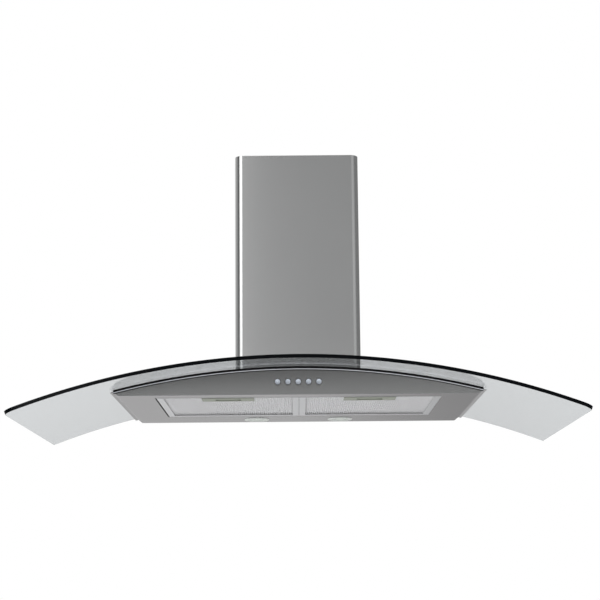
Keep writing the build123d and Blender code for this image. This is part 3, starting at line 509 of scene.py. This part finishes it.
def finish(nodes, material, edge=0.0):
    """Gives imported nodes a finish, with lightly broken edges where a width is given. The points are welded
    and flat faces are joined first, so that the bevel meets no loose or stray edge."""
    for name in nodes:
        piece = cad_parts[name]
        piece.data.materials.clear()
        piece.data.materials.append(material)
        if edge:
            weld = piece.modifiers.new("weld", "WELD")
            weld.merge_threshold = SAME_POINT
            flat = piece.modifiers.new("flat", "DECIMATE")
            flat.decimate_type = "DISSOLVE"
            flat.angle_limit = math.radians(FLAT)
            soften(piece, edge, flat=True)


# ---------------------------------------------------------------- pieces
class HOOD_OT_glass(bpy.types.Operator):
    """Bent glass sheet with rounded front corners, a rear notch and a near-black front edge"""
    bl_idname = "hood.glass"
    bl_label = "Glass"

    def execute(self, context):
        """Rows run front to back and columns run across. A column at x ends at the front on the corner's
        quarter circle. Heights come from the arc of the underside, or of the top, at x. The edges are square
        to the sheet: where the top has x, the underside has x * r / (r + t), with its radius r and the
        sheet's thickness t."""
        settings = context.scene.hood.glass
        half, front = high("glass_panel")[0], -low("glass_panel")[1]
        notch_x = high("airbox_shell")[0] + settings.notch_gap
        notch_depth = -low("airbox_shell")[1] + settings.notch_gap
        corner = settings.corner
        wing_lines, notch_lines, corner_lines, notch_rows, middle_rows = 60, 31, 8, 9, 11
        turn = np.linspace(0, math.pi / 2, corner_lines)
        right = np.concatenate([np.linspace(notch_x, half - corner, wing_lines),
                                half - corner + corner * np.sin(turn)[1:]])
        inner = np.linspace(-notch_x, notch_x, notch_lines)[1:-1]
        across = np.concatenate([-right[::-1], inner, right])
        straight = front - corner
        depths = np.concatenate([np.linspace(0, notch_depth, notch_rows),
                                 np.linspace(notch_depth, straight, middle_rows)[1:],
                                 np.linspace(straight, front, corner_lines)[1:]])
        past = np.clip(np.abs(across) - (half - corner), 0, corner)
        reach = straight + np.sqrt(corner ** 2 - past ** 2)
        depth = np.where(depths[:, None] > straight,
                         straight + (depths[:, None] - straight) * (reach - straight)[None] / corner,
                         depths[:, None])
        x = np.broadcast_to(across, depth.shape)
        rows, columns = depth.shape
        radius = bend()[1]
        layers = []
        for offset in (0.0, settings.thickness):
            layer_x = x * (radius + offset) / (radius + settings.thickness)
            layers.append(np.stack([layer_x, -depth, arc_height(offset, layer_x)], -1))
        face_row, face_column = np.meshgrid(np.arange(rows - 1), np.arange(columns - 1), indexing="ij")
        centre_x = (across[1:] + across[:-1])[face_column] / 2
        centre_depth = (depths[1:] + depths[:-1])[face_row] / 2
        kept = ~((np.abs(centre_x) < notch_x) & (centre_depth < notch_depth))
        quads = grid_faces(rows, columns)[kept.ravel()]
        sides = np.concatenate([quads[:, [i, (i + 1) % 4]] for i in range(4)])
        key = np.sort(sides, 1)
        _, first, count = np.unique(key[:, 0] * rows * columns + key[:, 1], return_index=True,
                                    return_counts=True)
        border = sides[first[count == 1]]
        shift = rows * columns
        walls = np.stack([border[:, 0], border[:, 1], border[:, 1] + shift, border[:, 0] + shift], -1)
        faces = np.concatenate([quads, quads[:, ::-1] + shift, walls])
        used = np.unique(faces)
        renumber = np.zeros(2 * shift, int)
        renumber[used] = np.arange(len(used))
        points = np.concatenate([layer.reshape(-1, 3) for layer in layers])[used]

        def at_front(middles, normals):
            """The walls of the front edge and its corners, up to where they turn to the side."""
            faces_user = normals[:, 1] < -0.3
            return (faces_user & (middles[:, 1] < -front / 2)).astype(np.int32)

        add_piece("bent_glass", [(points, renumber[faces].tolist())], "hood",
                  [clear_sheet("glass_clear", settings.tint), near_black_edge("glass_front_edge", settings.edge)],
                  ["glass_panel"], which=at_front)
        return {"FINISHED"}


class HOOD_OT_canopy(bpy.types.Operator):
    """Finishes of the canopy's steel sheets and its seal"""
    bl_idname = "hood.canopy"
    bl_label = "Canopy"

    def execute(self, context):
        steel = context.scene.hood.steel
        sheet = brushed_steel("canopy_steel", steel.canopy, ACROSS_LEVEL, steel.roughness, steel.grain)
        finish(["canopy_pan", "canopy_side_left", "canopy_side_right"], sheet, SHEET_EDGE)
        finish(["top_plate", "canopy_back"], sheet)
        finish(["glass_gasket", "glass_bushes"],
               moulded("black_rubber", (0.006, 0.006, 0.007), 0.55, gloss=0.1))
        return {"FINISHED"}


class HOOD_OT_fascia(bpy.types.Operator):
    """Leaning control strip and the bead along its top, with painted light: chrome on its forward faces,
    black painted shade on its flanks
    """
    bl_idname = "hood.fascia"
    bl_label = "Fascia"

    def execute(self, context):
        """The bead is half an ellipse, as high as the bead and as deep as it stands proud, carried along the
        arc in the fascia's plane."""
        steel = context.scene.hood.steel
        bow = (high("control_fascia")[2] / 2, steel.bow)
        finish(["control_fascia"], brushed_steel("fascia_steel", steel.fascia, ACROSS_UPRIGHT,
                                                 steel.roughness, steel.grain, bow), WIDE_EDGE)
        foot, outward, upward = fascia_axes()
        half = high("fascia_trim")[0]
        centre, _ = bend()
        top = high("fascia_trim")[2] - centre
        lines, arc_points = 121, 13
        x = np.linspace(-half, half, lines)
        z = centre + np.sqrt((top - steel.bead_height / 2) ** 2 - x ** 2)
        up = np.stack([x, np.zeros_like(x), z - centre], -1)
        up /= np.linalg.norm(up, axis=1)[:, None]
        level = np.stack([x, np.zeros_like(x), np.zeros_like(x)], -1)
        path = foot + level + (z / upward[2])[:, None] * upward
        turn = np.linspace(-math.pi / 2, math.pi / 2, arc_points)
        bulge = np.stack([steel.bead_proud * np.cos(turn), steel.bead_height / 2 * np.sin(turn)], -1)
        bead = carried(bulge, path, outward, up)

        # Painted light: forward faces get chrome as a lit band, and the upper and lower flanks get black as
        # painted shade for their dark reflections
        def painted_lit_band(middles, normals):
            return (normals @ outward > steel.painted_lit_band).astype(np.int32)

        add_piece("fascia_bead", [bead], "hood",
                  [moulded("bead_flanks_painted_shade", (0.008, 0.008, 0.010), 0.45, gloss=0.2),
                   plain_metal("bead_chrome", (0.90, 0.91, 0.95), 0.16)], ["fascia_trim"], which=painted_lit_band)
        return {"FINISHED"}


class HOOD_OT_chimney(bpy.types.Operator):
    """Lower chimney cover with rounded folds, and the finish of the upper one"""
    bl_idname = "hood.chimney"
    bl_label = "Chimney"

    def execute(self, context):
        """An upright strip of sheet, carried round the cover's plan: rear lip, side, fold, front and back
        again. The foot of the strip follows the glass's top."""
        steel = context.scene.hood.steel
        half, front = high("lower_chimney")[0], -low("lower_chimney")[1]
        top, thick, corner = high("lower_chimney")[2], steel.sheet, steel.corner

        def outline(inset):
            radius = corner - inset
            lip = [[half - steel.lip, inset], [half - inset, inset]]
            fold = round_corner((half - corner, front - corner), radius, 0, 90, steps=16)
            right = np.concatenate([lip, fold])
            left = right[::-1] * [-1, 1]
            return np.concatenate([right, left])

        outer, inner = outline(0.0), outline(thick)
        foot_gap = 0.1 * MM
        foot = arc_height(context.scene.hood.glass.thickness + foot_gap, outer[:, 0])
        ring = [np.column_stack([outer[:, 0], -outer[:, 1], foot]),
                np.column_stack([outer[:, 0], -outer[:, 1], np.full(len(outer), top)]),
                np.column_stack([inner[:, 0], -inner[:, 1], np.full(len(inner), top)]),
                np.column_stack([inner[:, 0], -inner[:, 1], foot])]
        points = np.stack(ring, 1)
        faces = grid_faces(len(outer), 4, wrap_columns=True).tolist()
        last = (len(outer) - 1) * 4
        faces += [[0, 1, 2, 3], [last, last + 1, last + 2, last + 3]]
        cover = brushed_steel("chimney_steel", steel.chimney, ACROSS_UPRIGHT, steel.roughness, steel.grain)
        piece = add_piece("chimney_cover", [(points, faces)], "hood", [cover],
                          ["lower_chimney"])
        soften(piece, FINE_EDGE)
        finish(["upper_chimney"], cover)
        finish(["chimney_clips", "chimney_bracket"], galvanised_sheet("bracket_zinc", steel.galvanised),
               PLATE_EDGE)
        return {"FINISHED"}


class HOOD_OT_buttons(bpy.types.Operator):
    """Five push buttons with domed faces"""
    bl_idname = "hood.buttons"
    bl_label = "Buttons"

    def execute(self, context):
        """Each cap is turned: stem, cap wall, quarter-round rim, and a face that falls off from its middle
        with the square of the radius."""
        settings = context.scene.hood.buttons
        foot, outward, _ = fascia_axes()
        module = middle("switch_module")
        # Painted shade: stem, wall and rim are near-black metal that stands for the dark shadow crescent at
        # each cap; only the face is silver
        wall_painted_shade = plain_metal("button_chrome", (0.03, 0.03, 0.035), 0.20, scale=300.0, spread=0.02)
        satin = plain_metal("button_face", (0.80, 0.86, 0.96), 0.40, metallic=0.5)
        edge = settings.radius - settings.rim
        rim = round_corner((edge, settings.proud - settings.dome - settings.rim), settings.rim, 0, 90,
                           steps=7)
        face_r = np.linspace(edge, 0, 10)[1:]
        face = np.stack([face_r, settings.proud - settings.dome * (face_r / edge) ** 2], -1)
        stem_end = -settings.rear - settings.stem_length
        profile = np.concatenate([
            [[0.0, stem_end], [settings.stem_radius, stem_end], [settings.stem_radius, -settings.rear],
             [settings.radius, -settings.rear]], rim, face])
        for name in [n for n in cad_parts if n.startswith("button_")]:
            origin = np.array([middle(name)[0], module[1], module[2]])
            origin = origin - np.dot(origin - foot, outward) * outward

            def on_face(middles, normals, origin=origin):
                across = np.linalg.norm(np.cross(middles - origin, outward), axis=1)
                ahead = (middles - origin) @ outward
                return ((across < edge) & (ahead > 0)).astype(np.int32)

            add_piece(f"{name}_turned", [turned(profile, origin, outward, steps=48)], f"{name}_cap",
                      [wall_painted_shade, satin], [name], which=on_face)
        return {"FINISHED"}


class HOOD_OT_filters(bpy.types.Operator):
    """Grease filters: thin mesh over a ridged layer, aluminium rims, catch plates and springs"""
    bl_idname = "hood.filters"
    bl_label = "Filters"

    def strands(self, x_low, x_high, front, rear, level, settings):
        """Zigzag strands that run front to back: strand k lies at x = k*p/2, and at its bend j it leans by a
        quarter of p, to the left where j + k is even and to the right where it is odd. A strand's section is
        twisted: it rises by its tilt times x."""
        half_pitch, half_length = settings.pitch / 2, settings.diamond / 2
        k = np.arange(int((x_high - x_low - half_pitch) / half_pitch) + 1)
        j = np.arange(int((front - rear) / half_length) + 1)
        lean = np.where((k[:, None] + j[None]) % 2, 0.25, -0.25) * settings.pitch
        x = x_low + half_pitch / 2 + k[:, None] * half_pitch + lean
        depth = np.broadcast_to(rear + j * half_length, x.shape)
        wide, thick = settings.strand / 2, settings.gauge / 2
        tilt = 0.2
        rise = tilt * wide
        section = np.array([[-wide, -thick - rise], [wide, -thick + rise],
                            [wide, thick + rise], [-wide, thick - rise]])
        points = np.stack([x[..., None] + section[:, 0],
                           np.broadcast_to(-depth[..., None], (*x.shape, 4)),
                           np.broadcast_to(level + section[:, 1], (*x.shape, 4))], -1)
        one = grid_faces(len(j), 4, wrap_columns=True)
        ends = np.arange(4) + np.array([[0], [4 * (len(j) - 1)]])
        faces = np.concatenate([one, ends])[None] + (k * len(j) * 4)[:, None, None]
        return points, faces.reshape(-1, 4).tolist()

    def ridge(self, x, level, settings):
        """Height of the ridged layer at x: level + ridge * (1 - cos(2*pi*x/f)) / 2, with the fold f."""
        return level + settings.ridge * (1 - np.cos(2 * math.pi * x / settings.fold)) / 2

    def ridges(self, x_low, x_high, front, rear, level, settings):
        """A ridged sheet, the same from front to back, whose upper side lies one gauge higher."""
        points_per_fold = 8
        x = np.linspace(x_low, x_high, int((x_high - x_low) / settings.fold) * points_per_fold + 1)
        wave = self.ridge(x, level, settings)
        ring = [np.column_stack([x, np.full_like(x, -front), wave]),
                np.column_stack([x, np.full_like(x, -rear), wave]),
                np.column_stack([x, np.full_like(x, -rear), wave + settings.gauge]),
                np.column_stack([x, np.full_like(x, -front), wave + settings.gauge])]
        faces = grid_faces(len(x), 4, wrap_columns=True).tolist()
        last = (len(x) - 1) * 4
        return np.stack(ring, 1), faces + [[0, 1, 2, 3], [last, last + 1, last + 2, last + 3]]

    def execute(self, context):
        settings = context.scene.hood.filters
        rim = plain_metal("rim_aluminium", settings.metal, 0.38, scale=900.0)
        mesh = plain_metal("mesh_aluminium", settings.mesh, 0.36, scale=700.0, metallic=0.5)
        plate = moulded("handle_plastic", settings.handle, 0.5)
        wire = plain_metal("spring_wire", (0.55, 0.55, 0.57), 0.25)
        for side in SIDES:
            net, handle = f"filter_{side}_net", f"filter_{side}_handle"
            (x0, front_y, lowest), (x1, rear_y, _) = low(net), high(net)
            gap, plate_top, layer_gap = 0.5 * MM, 2 * MM, 0.2 * MM
            cup = corners_of(handle)
            cup = cup[cup[:, 2] > plate_top]
            cup_x0, cup_x1 = cup[:, 0].min() - gap, cup[:, 0].max() + gap
            cup_rear = -cup[:, 1].max() - gap
            front, rear = -front_y, -rear_y
            areas = [(x0, x1, cup_rear, rear), (x0, cup_x0, front, cup_rear),
                     (cup_x1, x1, front, cup_rear)]
            level = lowest + settings.strand / 2
            shells = [self.strands(*area, level, settings) for area in areas]
            shells += [self.ridges(*area, level + layer_gap, settings) for area in areas]
            body = f"filter_{side}"
            add_piece(f"filter_{side}_mesh", shells, body, [mesh], [net], sharp=25.0)
            finish([f"filter_{side}_frame"], rim, PLATE_EDGE)
            finish([handle, f"filter_{side}_catch"], plate, PLATE_EDGE)
            finish([f"filter_{side}_spring"], wire)
        return {"FINISHED"}


class HOOD_OT_lamps(bpy.types.Operator):
    """Two lamps: turned rings and pressed lenses over the cans and bulbs"""
    bl_idname = "hood.lamps"
    bl_label = "Lamps"

    def execute(self, context):
        """The lens is turned: its lower face bulges with the square of the radius, down to the ring's lower
        face, and carries a cosine of prisms."""
        settings = context.scene.hood.lamps
        satin = plain_metal("lamp_ring_metal", (0.86, 0.89, 0.86), 0.30, metallic=0.3)
        lens = frosted_lens("lamp_lens", settings.lens)
        for side in SIDES:
            finish([f"lamp_{side}_trim"], satin, FINE_EDGE)
            finish([f"lamp_{side}_can"], plain_metal(f"lamp_{side}_reflector", (0.8, 0.8, 0.8), 0.18))
            finish([f"lamp_{side}_bulb"], capsule_glass(f"lamp_{side}_capsule"))
            node_name = f"lamp_{side}_lens"
            centre, foot, top = middle(node_name), low(node_name)[2], high(node_name)[2]
            radius = (high(node_name)[0] - low(node_name)[0]) / 2
            r = np.linspace(0, radius, num=90)
            prisms = settings.prism * (1 - np.cos(2 * math.pi * settings.rings * r / radius)) / 2
            bulge = (foot - low(f"lamp_{side}_trim")[2]) * (1 - (r / radius) ** 2)
            below = np.stack([r, foot + prisms - bulge], -1)
            profile = np.concatenate([below, [[radius, top], [0.0, top]]])
            profile[:, 1] -= centre[2]
            add_piece(f"lamp_{side}_pressed_lens", [turned(profile, centre, (0, 0, 1), steps=72)], "hood",
                      [lens], [node_name], sharp=60.0)
        return {"FINISHED"}


class HOOD_OT_blower(bpy.types.Operator):
    """Finishes of the blower, its housing, the outlet and the electrical parts"""
    bl_idname = "hood.blower"
    bl_label = "Blower"

    def execute(self, context):
        steel = context.scene.hood.steel
        zinc = galvanised_sheet("housing_zinc", steel.galvanised)
        finish(["airbox_shell", "airbox_lid", "scroll_band", "scroll_side_left", "scroll_side_right",
                "motor_mount"], zinc)
        finish(["impeller"], moulded("wheel_plastic", (0.05, 0.05, 0.055), 0.4))
        finish(["motor"], moulded("motor_paint", (0.02, 0.02, 0.022), 0.35, grain=500.0, bump=0.05),
               WIDE_EDGE)
        finish(["motor_shaft", "damper_pin"], plain_metal("ground_steel", (0.60, 0.60, 0.62), 0.2))
        finish(["outlet_collar", "damper_flap_front", "damper_flap_rear", "junction_box", "cable_gland",
                "switch_module"], moulded("black_plastic", (0.018, 0.018, 0.02), 0.4), SHEET_EDGE)
        finish(["capacitor"], moulded("capacitor_plastic", (0.55, 0.55, 0.52), 0.4), SCREW_EDGE)
        finish(["glass_screws", "chimney_screws", "bracket_screws", "airbox_screws", "motor_screws",
                "collar_screws"], plain_metal("zinc_screws", (0.62, 0.62, 0.65), 0.3), SCREW_EDGE)
        return {"FINISHED"}


class HOOD_OT_stage(bpy.types.Operator):
    """Pale floor, studio light, white surroundings and the camera"""
    bl_idname = "hood.stage"
    bl_label = "Stage"

    # pairs of a direction and the studio's level there: 0 degrees is the user's side, -90 the left and 180
    # the wall side
    above_horizon = ((-180, 0.62), (-172, 0.55), (-150, 0.80), (-130, 0.85), (-100, 0.50), (-80, 0.42),
                     (-64, 0.22), (-48, 0.22), (-9, 0.67), (0, 0.67), (8, 0.64), (12, 0.60), (20, 0.90),
                     (45, 0.90), (62, 0.55), (75, 0.33), (120, 0.33), (150, 0.25), (173, 0.20), (180, 0.62))
    below_horizon = ((-180, 0.37), (-174, 0.42), (-166, 0.45), (-90, 0.28), (-45, 0.02), (-8, 0.02),
                     (-3, 0.23), (0, 0.24), (3, 0.32), (5, 0.46), (8, 0.40), (45, 0.20), (120, 0.20),
                     (166, 0.31), (174, 0.33), (180, 0.37))
    near_wall_floor = ((-180, 0.88), (-174, 0.80), (-150, 0.95), (-90, 1.00), (60, 0.95), (90, 0.80),
                       (160, 0.55), (171, 0.48), (175, 0.60), (180, 0.88))
    strip_light = ((-180, 0.0), (-50, 0.0), (-45, 1.0), (-11, 1.0), (-8, 0.0), (180, 0.0))

    def round_the_studio(self, tree, turn, levels):
        """The level for a turn of 0 to 1, read from pairs of degrees and levels."""
        ramp = tree.nodes.new("ShaderNodeValToRGB")
        elements = ramp.color_ramp.elements
        while len(elements) < len(levels):
            elements.new(0.5)
        for element, (degrees, level) in zip(elements, levels):
            element.position = degrees / 360 + 0.5
            element.color = (level, level, level, 1.0)
        tree.links.new(turn, ramp.inputs["Fac"])
        return ramp.outputs["Color"]

    def surroundings(self, settings):
        """White for what the camera sees, also through glass. Metal and glass mirror a studio: a white
        backdrop on the wall side, grey on the user's side with a bright upright strip at its left, and
        darker overhead and low down. The limits of the slopes are the y or z of a direction of length 1."""
        world = bpy.data.worlds.new("studio")
        bpy.context.scene.world = world
        world.use_nodes = True
        tree = world.node_tree
        background = tree.nodes["Background"]
        way = tree.nodes.new("ShaderNodeTexCoord")
        axes = tree.nodes.new("ShaderNodeSeparateXYZ")
        tree.links.new(way.outputs["Generated"], axes.inputs["Vector"])
        x, y, z = (axes.outputs[axis] for axis in "XYZ")

        def calculate(operation, first, second):
            return arithmetic(tree, operation, first, second)

        def slope(value, start, end, first, last):
            return map_range(tree, value, start, end, first, last, "SMOOTHSTEP")

        def blend(factor, first, second):
            mixed = tree.nodes.new("ShaderNodeMix")
            for socket, value in zip((mixed.inputs["Factor"], mixed.inputs["A"], mixed.inputs["B"]),
                                     (factor, first, second)):
                if isinstance(value, float):
                    socket.default_value = value
                else:
                    tree.links.new(value, socket)
            return mixed.outputs["Result"]

        angle = calculate("ARCTAN2", x, calculate("MULTIPLY", y, -1.0))
        turn = calculate("ADD", calculate("DIVIDE", angle, 2 * math.pi), 0.5)
        upper = self.round_the_studio(tree, turn, self.above_horizon)
        lower = self.round_the_studio(tree, turn, self.below_horizon)
        wall_side = slope(y, -0.3, 0.1, 0.0, 1.0)
        overhead = blend(wall_side, slope(z, 0.30, 0.55, 1.0, settings.ceiling), 1.0)
        underfoot = blend(wall_side, slope(z, -0.10, -0.40, 1.0, settings.ground), 1.0)
        apron = calculate("MULTIPLY", self.round_the_studio(tree, turn, self.near_wall_floor), settings.apron)
        near_wall = blend(slope(z, -0.30, -0.26, 0.0, 1.0), apron, lower)
        low_down = blend(wall_side, calculate("MULTIPLY", lower, underfoot), near_wall)
        mirrored = blend(slope(z, -0.18, -0.12, 0.0, 1.0), low_down, calculate("MULTIPLY", upper, overhead))
        strip = calculate("MULTIPLY", self.round_the_studio(tree, turn, self.strip_light), settings.strip)
        mirrored = calculate("ADD", mirrored, calculate("MULTIPLY", strip, slope(z, 0.08, 0.16, 0.0, 1.0)))
        through_glass = blend(slope(z, -0.16, -0.10, 0.0, 1.0), mirrored, 1.0)
        light = tree.nodes.new("ShaderNodeLightPath")
        seen = blend(light.outputs["Is Glossy Ray"], float(settings.ambient), mirrored)
        seen = blend(light.outputs["Is Transmission Ray"], seen, through_glass)
        seen = blend(light.outputs["Is Camera Ray"], seen, 1.0)
        background.inputs["Color"].default_value = (1.0, 1.0, 1.0, 1.0)
        tree.links.new(seen, background.inputs["Strength"])
        world.cycles.sampling_method = "NONE"

    def soft_light(self, name, watts, size, place, target):
        """A rectangular light that faces its target and that metals don't mirror."""
        light = bpy.data.lights.new(name, "AREA")
        light.shape = "RECTANGLE"
        light.size, light.size_y = size
        light.energy = watts
        lamp = bpy.data.objects.new(name, light)
        bpy.context.scene.collection.objects.link(lamp)
        back = np.asarray(place, float) - np.asarray(target, float)
        back /= np.linalg.norm(back)
        side = np.cross([0.0, 0.0, 1.0], back)
        side /= np.linalg.norm(side)
        turn = np.column_stack([side, np.cross(back, side), back])
        lamp.matrix_world = Matrix.Translation(place) @ Matrix(turn.tolist()).to_4x4()
        lamp.visible_glossy = False

    def camera(self, settings):
        """Looks along the wall's inward normal, turned right by yaw, up by pitch and then rolled."""
        yaw, pitch, roll = settings.yaw, settings.pitch, settings.roll
        ahead = np.array([math.sin(yaw) * math.cos(pitch), math.cos(yaw) * math.cos(pitch), math.sin(pitch)])
        right = np.array([math.cos(yaw), -math.sin(yaw), 0.0])
        up = np.cross(right, ahead)
        side = right * math.cos(roll) + up * math.sin(roll)
        upright = up * math.cos(roll) - right * math.sin(roll)
        camera = bpy.data.cameras.new("camera")
        camera.lens = settings.focal / MM
        camera.sensor_width = 36.0
        camera.shift_y = settings.shift
        nearest, farthest = 0.05, 100.0
        camera.clip_start, camera.clip_end = nearest, farthest
        holder = bpy.data.objects.new("camera", camera)
        bpy.context.scene.collection.objects.link(holder)
        place = (settings.camera_x, -settings.camera_depth, -settings.camera_drop)
        turn = Matrix(np.column_stack([side, upright, -ahead]).tolist()).to_4x4()
        holder.matrix_world = Matrix.Translation(place) @ turn
        bpy.context.scene.camera = holder

    def floor(self, settings):
        """A flat square; it shows its own pale colour and the hood's soft shadow."""
        reach, level = 6.0, -settings.floor_drop
        mesh = bpy.data.meshes.new("floor")
        mesh.from_pydata([(-reach, -reach, level), (reach, -reach, level), (reach, reach, level),
                          (-reach, reach, level)], [], [(0, 1, 2, 3)])
        material, _, shader = new_material("floor_pale")
        shader.inputs["Base Color"].default_value = (0.93, 0.93, 0.93, 1)
        shader.inputs["Roughness"].default_value = 0.9
        mesh.materials.append(material)
        plane = bpy.data.objects.new("floor", mesh)
        bpy.context.scene.collection.objects.link(plane)
        plane.visible_glossy = False

    def execute(self, context):
        settings = context.scene.hood.stage
        self.surroundings(settings)
        self.floor(settings)
        self.soft_light("key", settings.key, size=(2.4, 1.6), place=(-0.8, -2.2, 2.6),
                        target=(0.0, -0.2, 0.2))
        self.camera(settings)
        context.scene.view_settings.view_transform = "Standard"
        return {"FINISHED"}


OPERATORS = (HOOD_OT_glass, HOOD_OT_canopy, HOOD_OT_fascia, HOOD_OT_chimney, HOOD_OT_buttons,
             HOOD_OT_filters, HOOD_OT_lamps, HOOD_OT_blower, HOOD_OT_stage)


class HOOD_PT_panel(bpy.types.Panel):
    """The hood's pieces, each with a button that builds it"""
    bl_idname = "HOOD_PT_panel"
    bl_label = "Range hood"
    bl_space_type = "VIEW_3D"
    bl_region_type = "UI"
    bl_category = "Hood"

    def draw(self, context):
        for operator in OPERATORS:
            self.layout.operator(operator.bl_idname)


CLASSES = (HoodSteel, HoodGlass, HoodButtons, HoodFilters, HoodLamps, HoodStage, HoodSettings, *OPERATORS,
           HOOD_PT_panel)


def register():
    for item in CLASSES:
        bpy.utils.register_class(item)
    bpy.types.Scene.hood = PointerProperty(type=HoodSettings)


def unregister():
    del bpy.types.Scene.hood
    for item in reversed(CLASSES):
        bpy.utils.unregister_class(item)


def main():
    register()
    for operator in OPERATORS:
        group, name = operator.bl_idname.split(".")
        getattr(getattr(bpy.ops, group), name)()


if __name__ == "__main__":
    main()
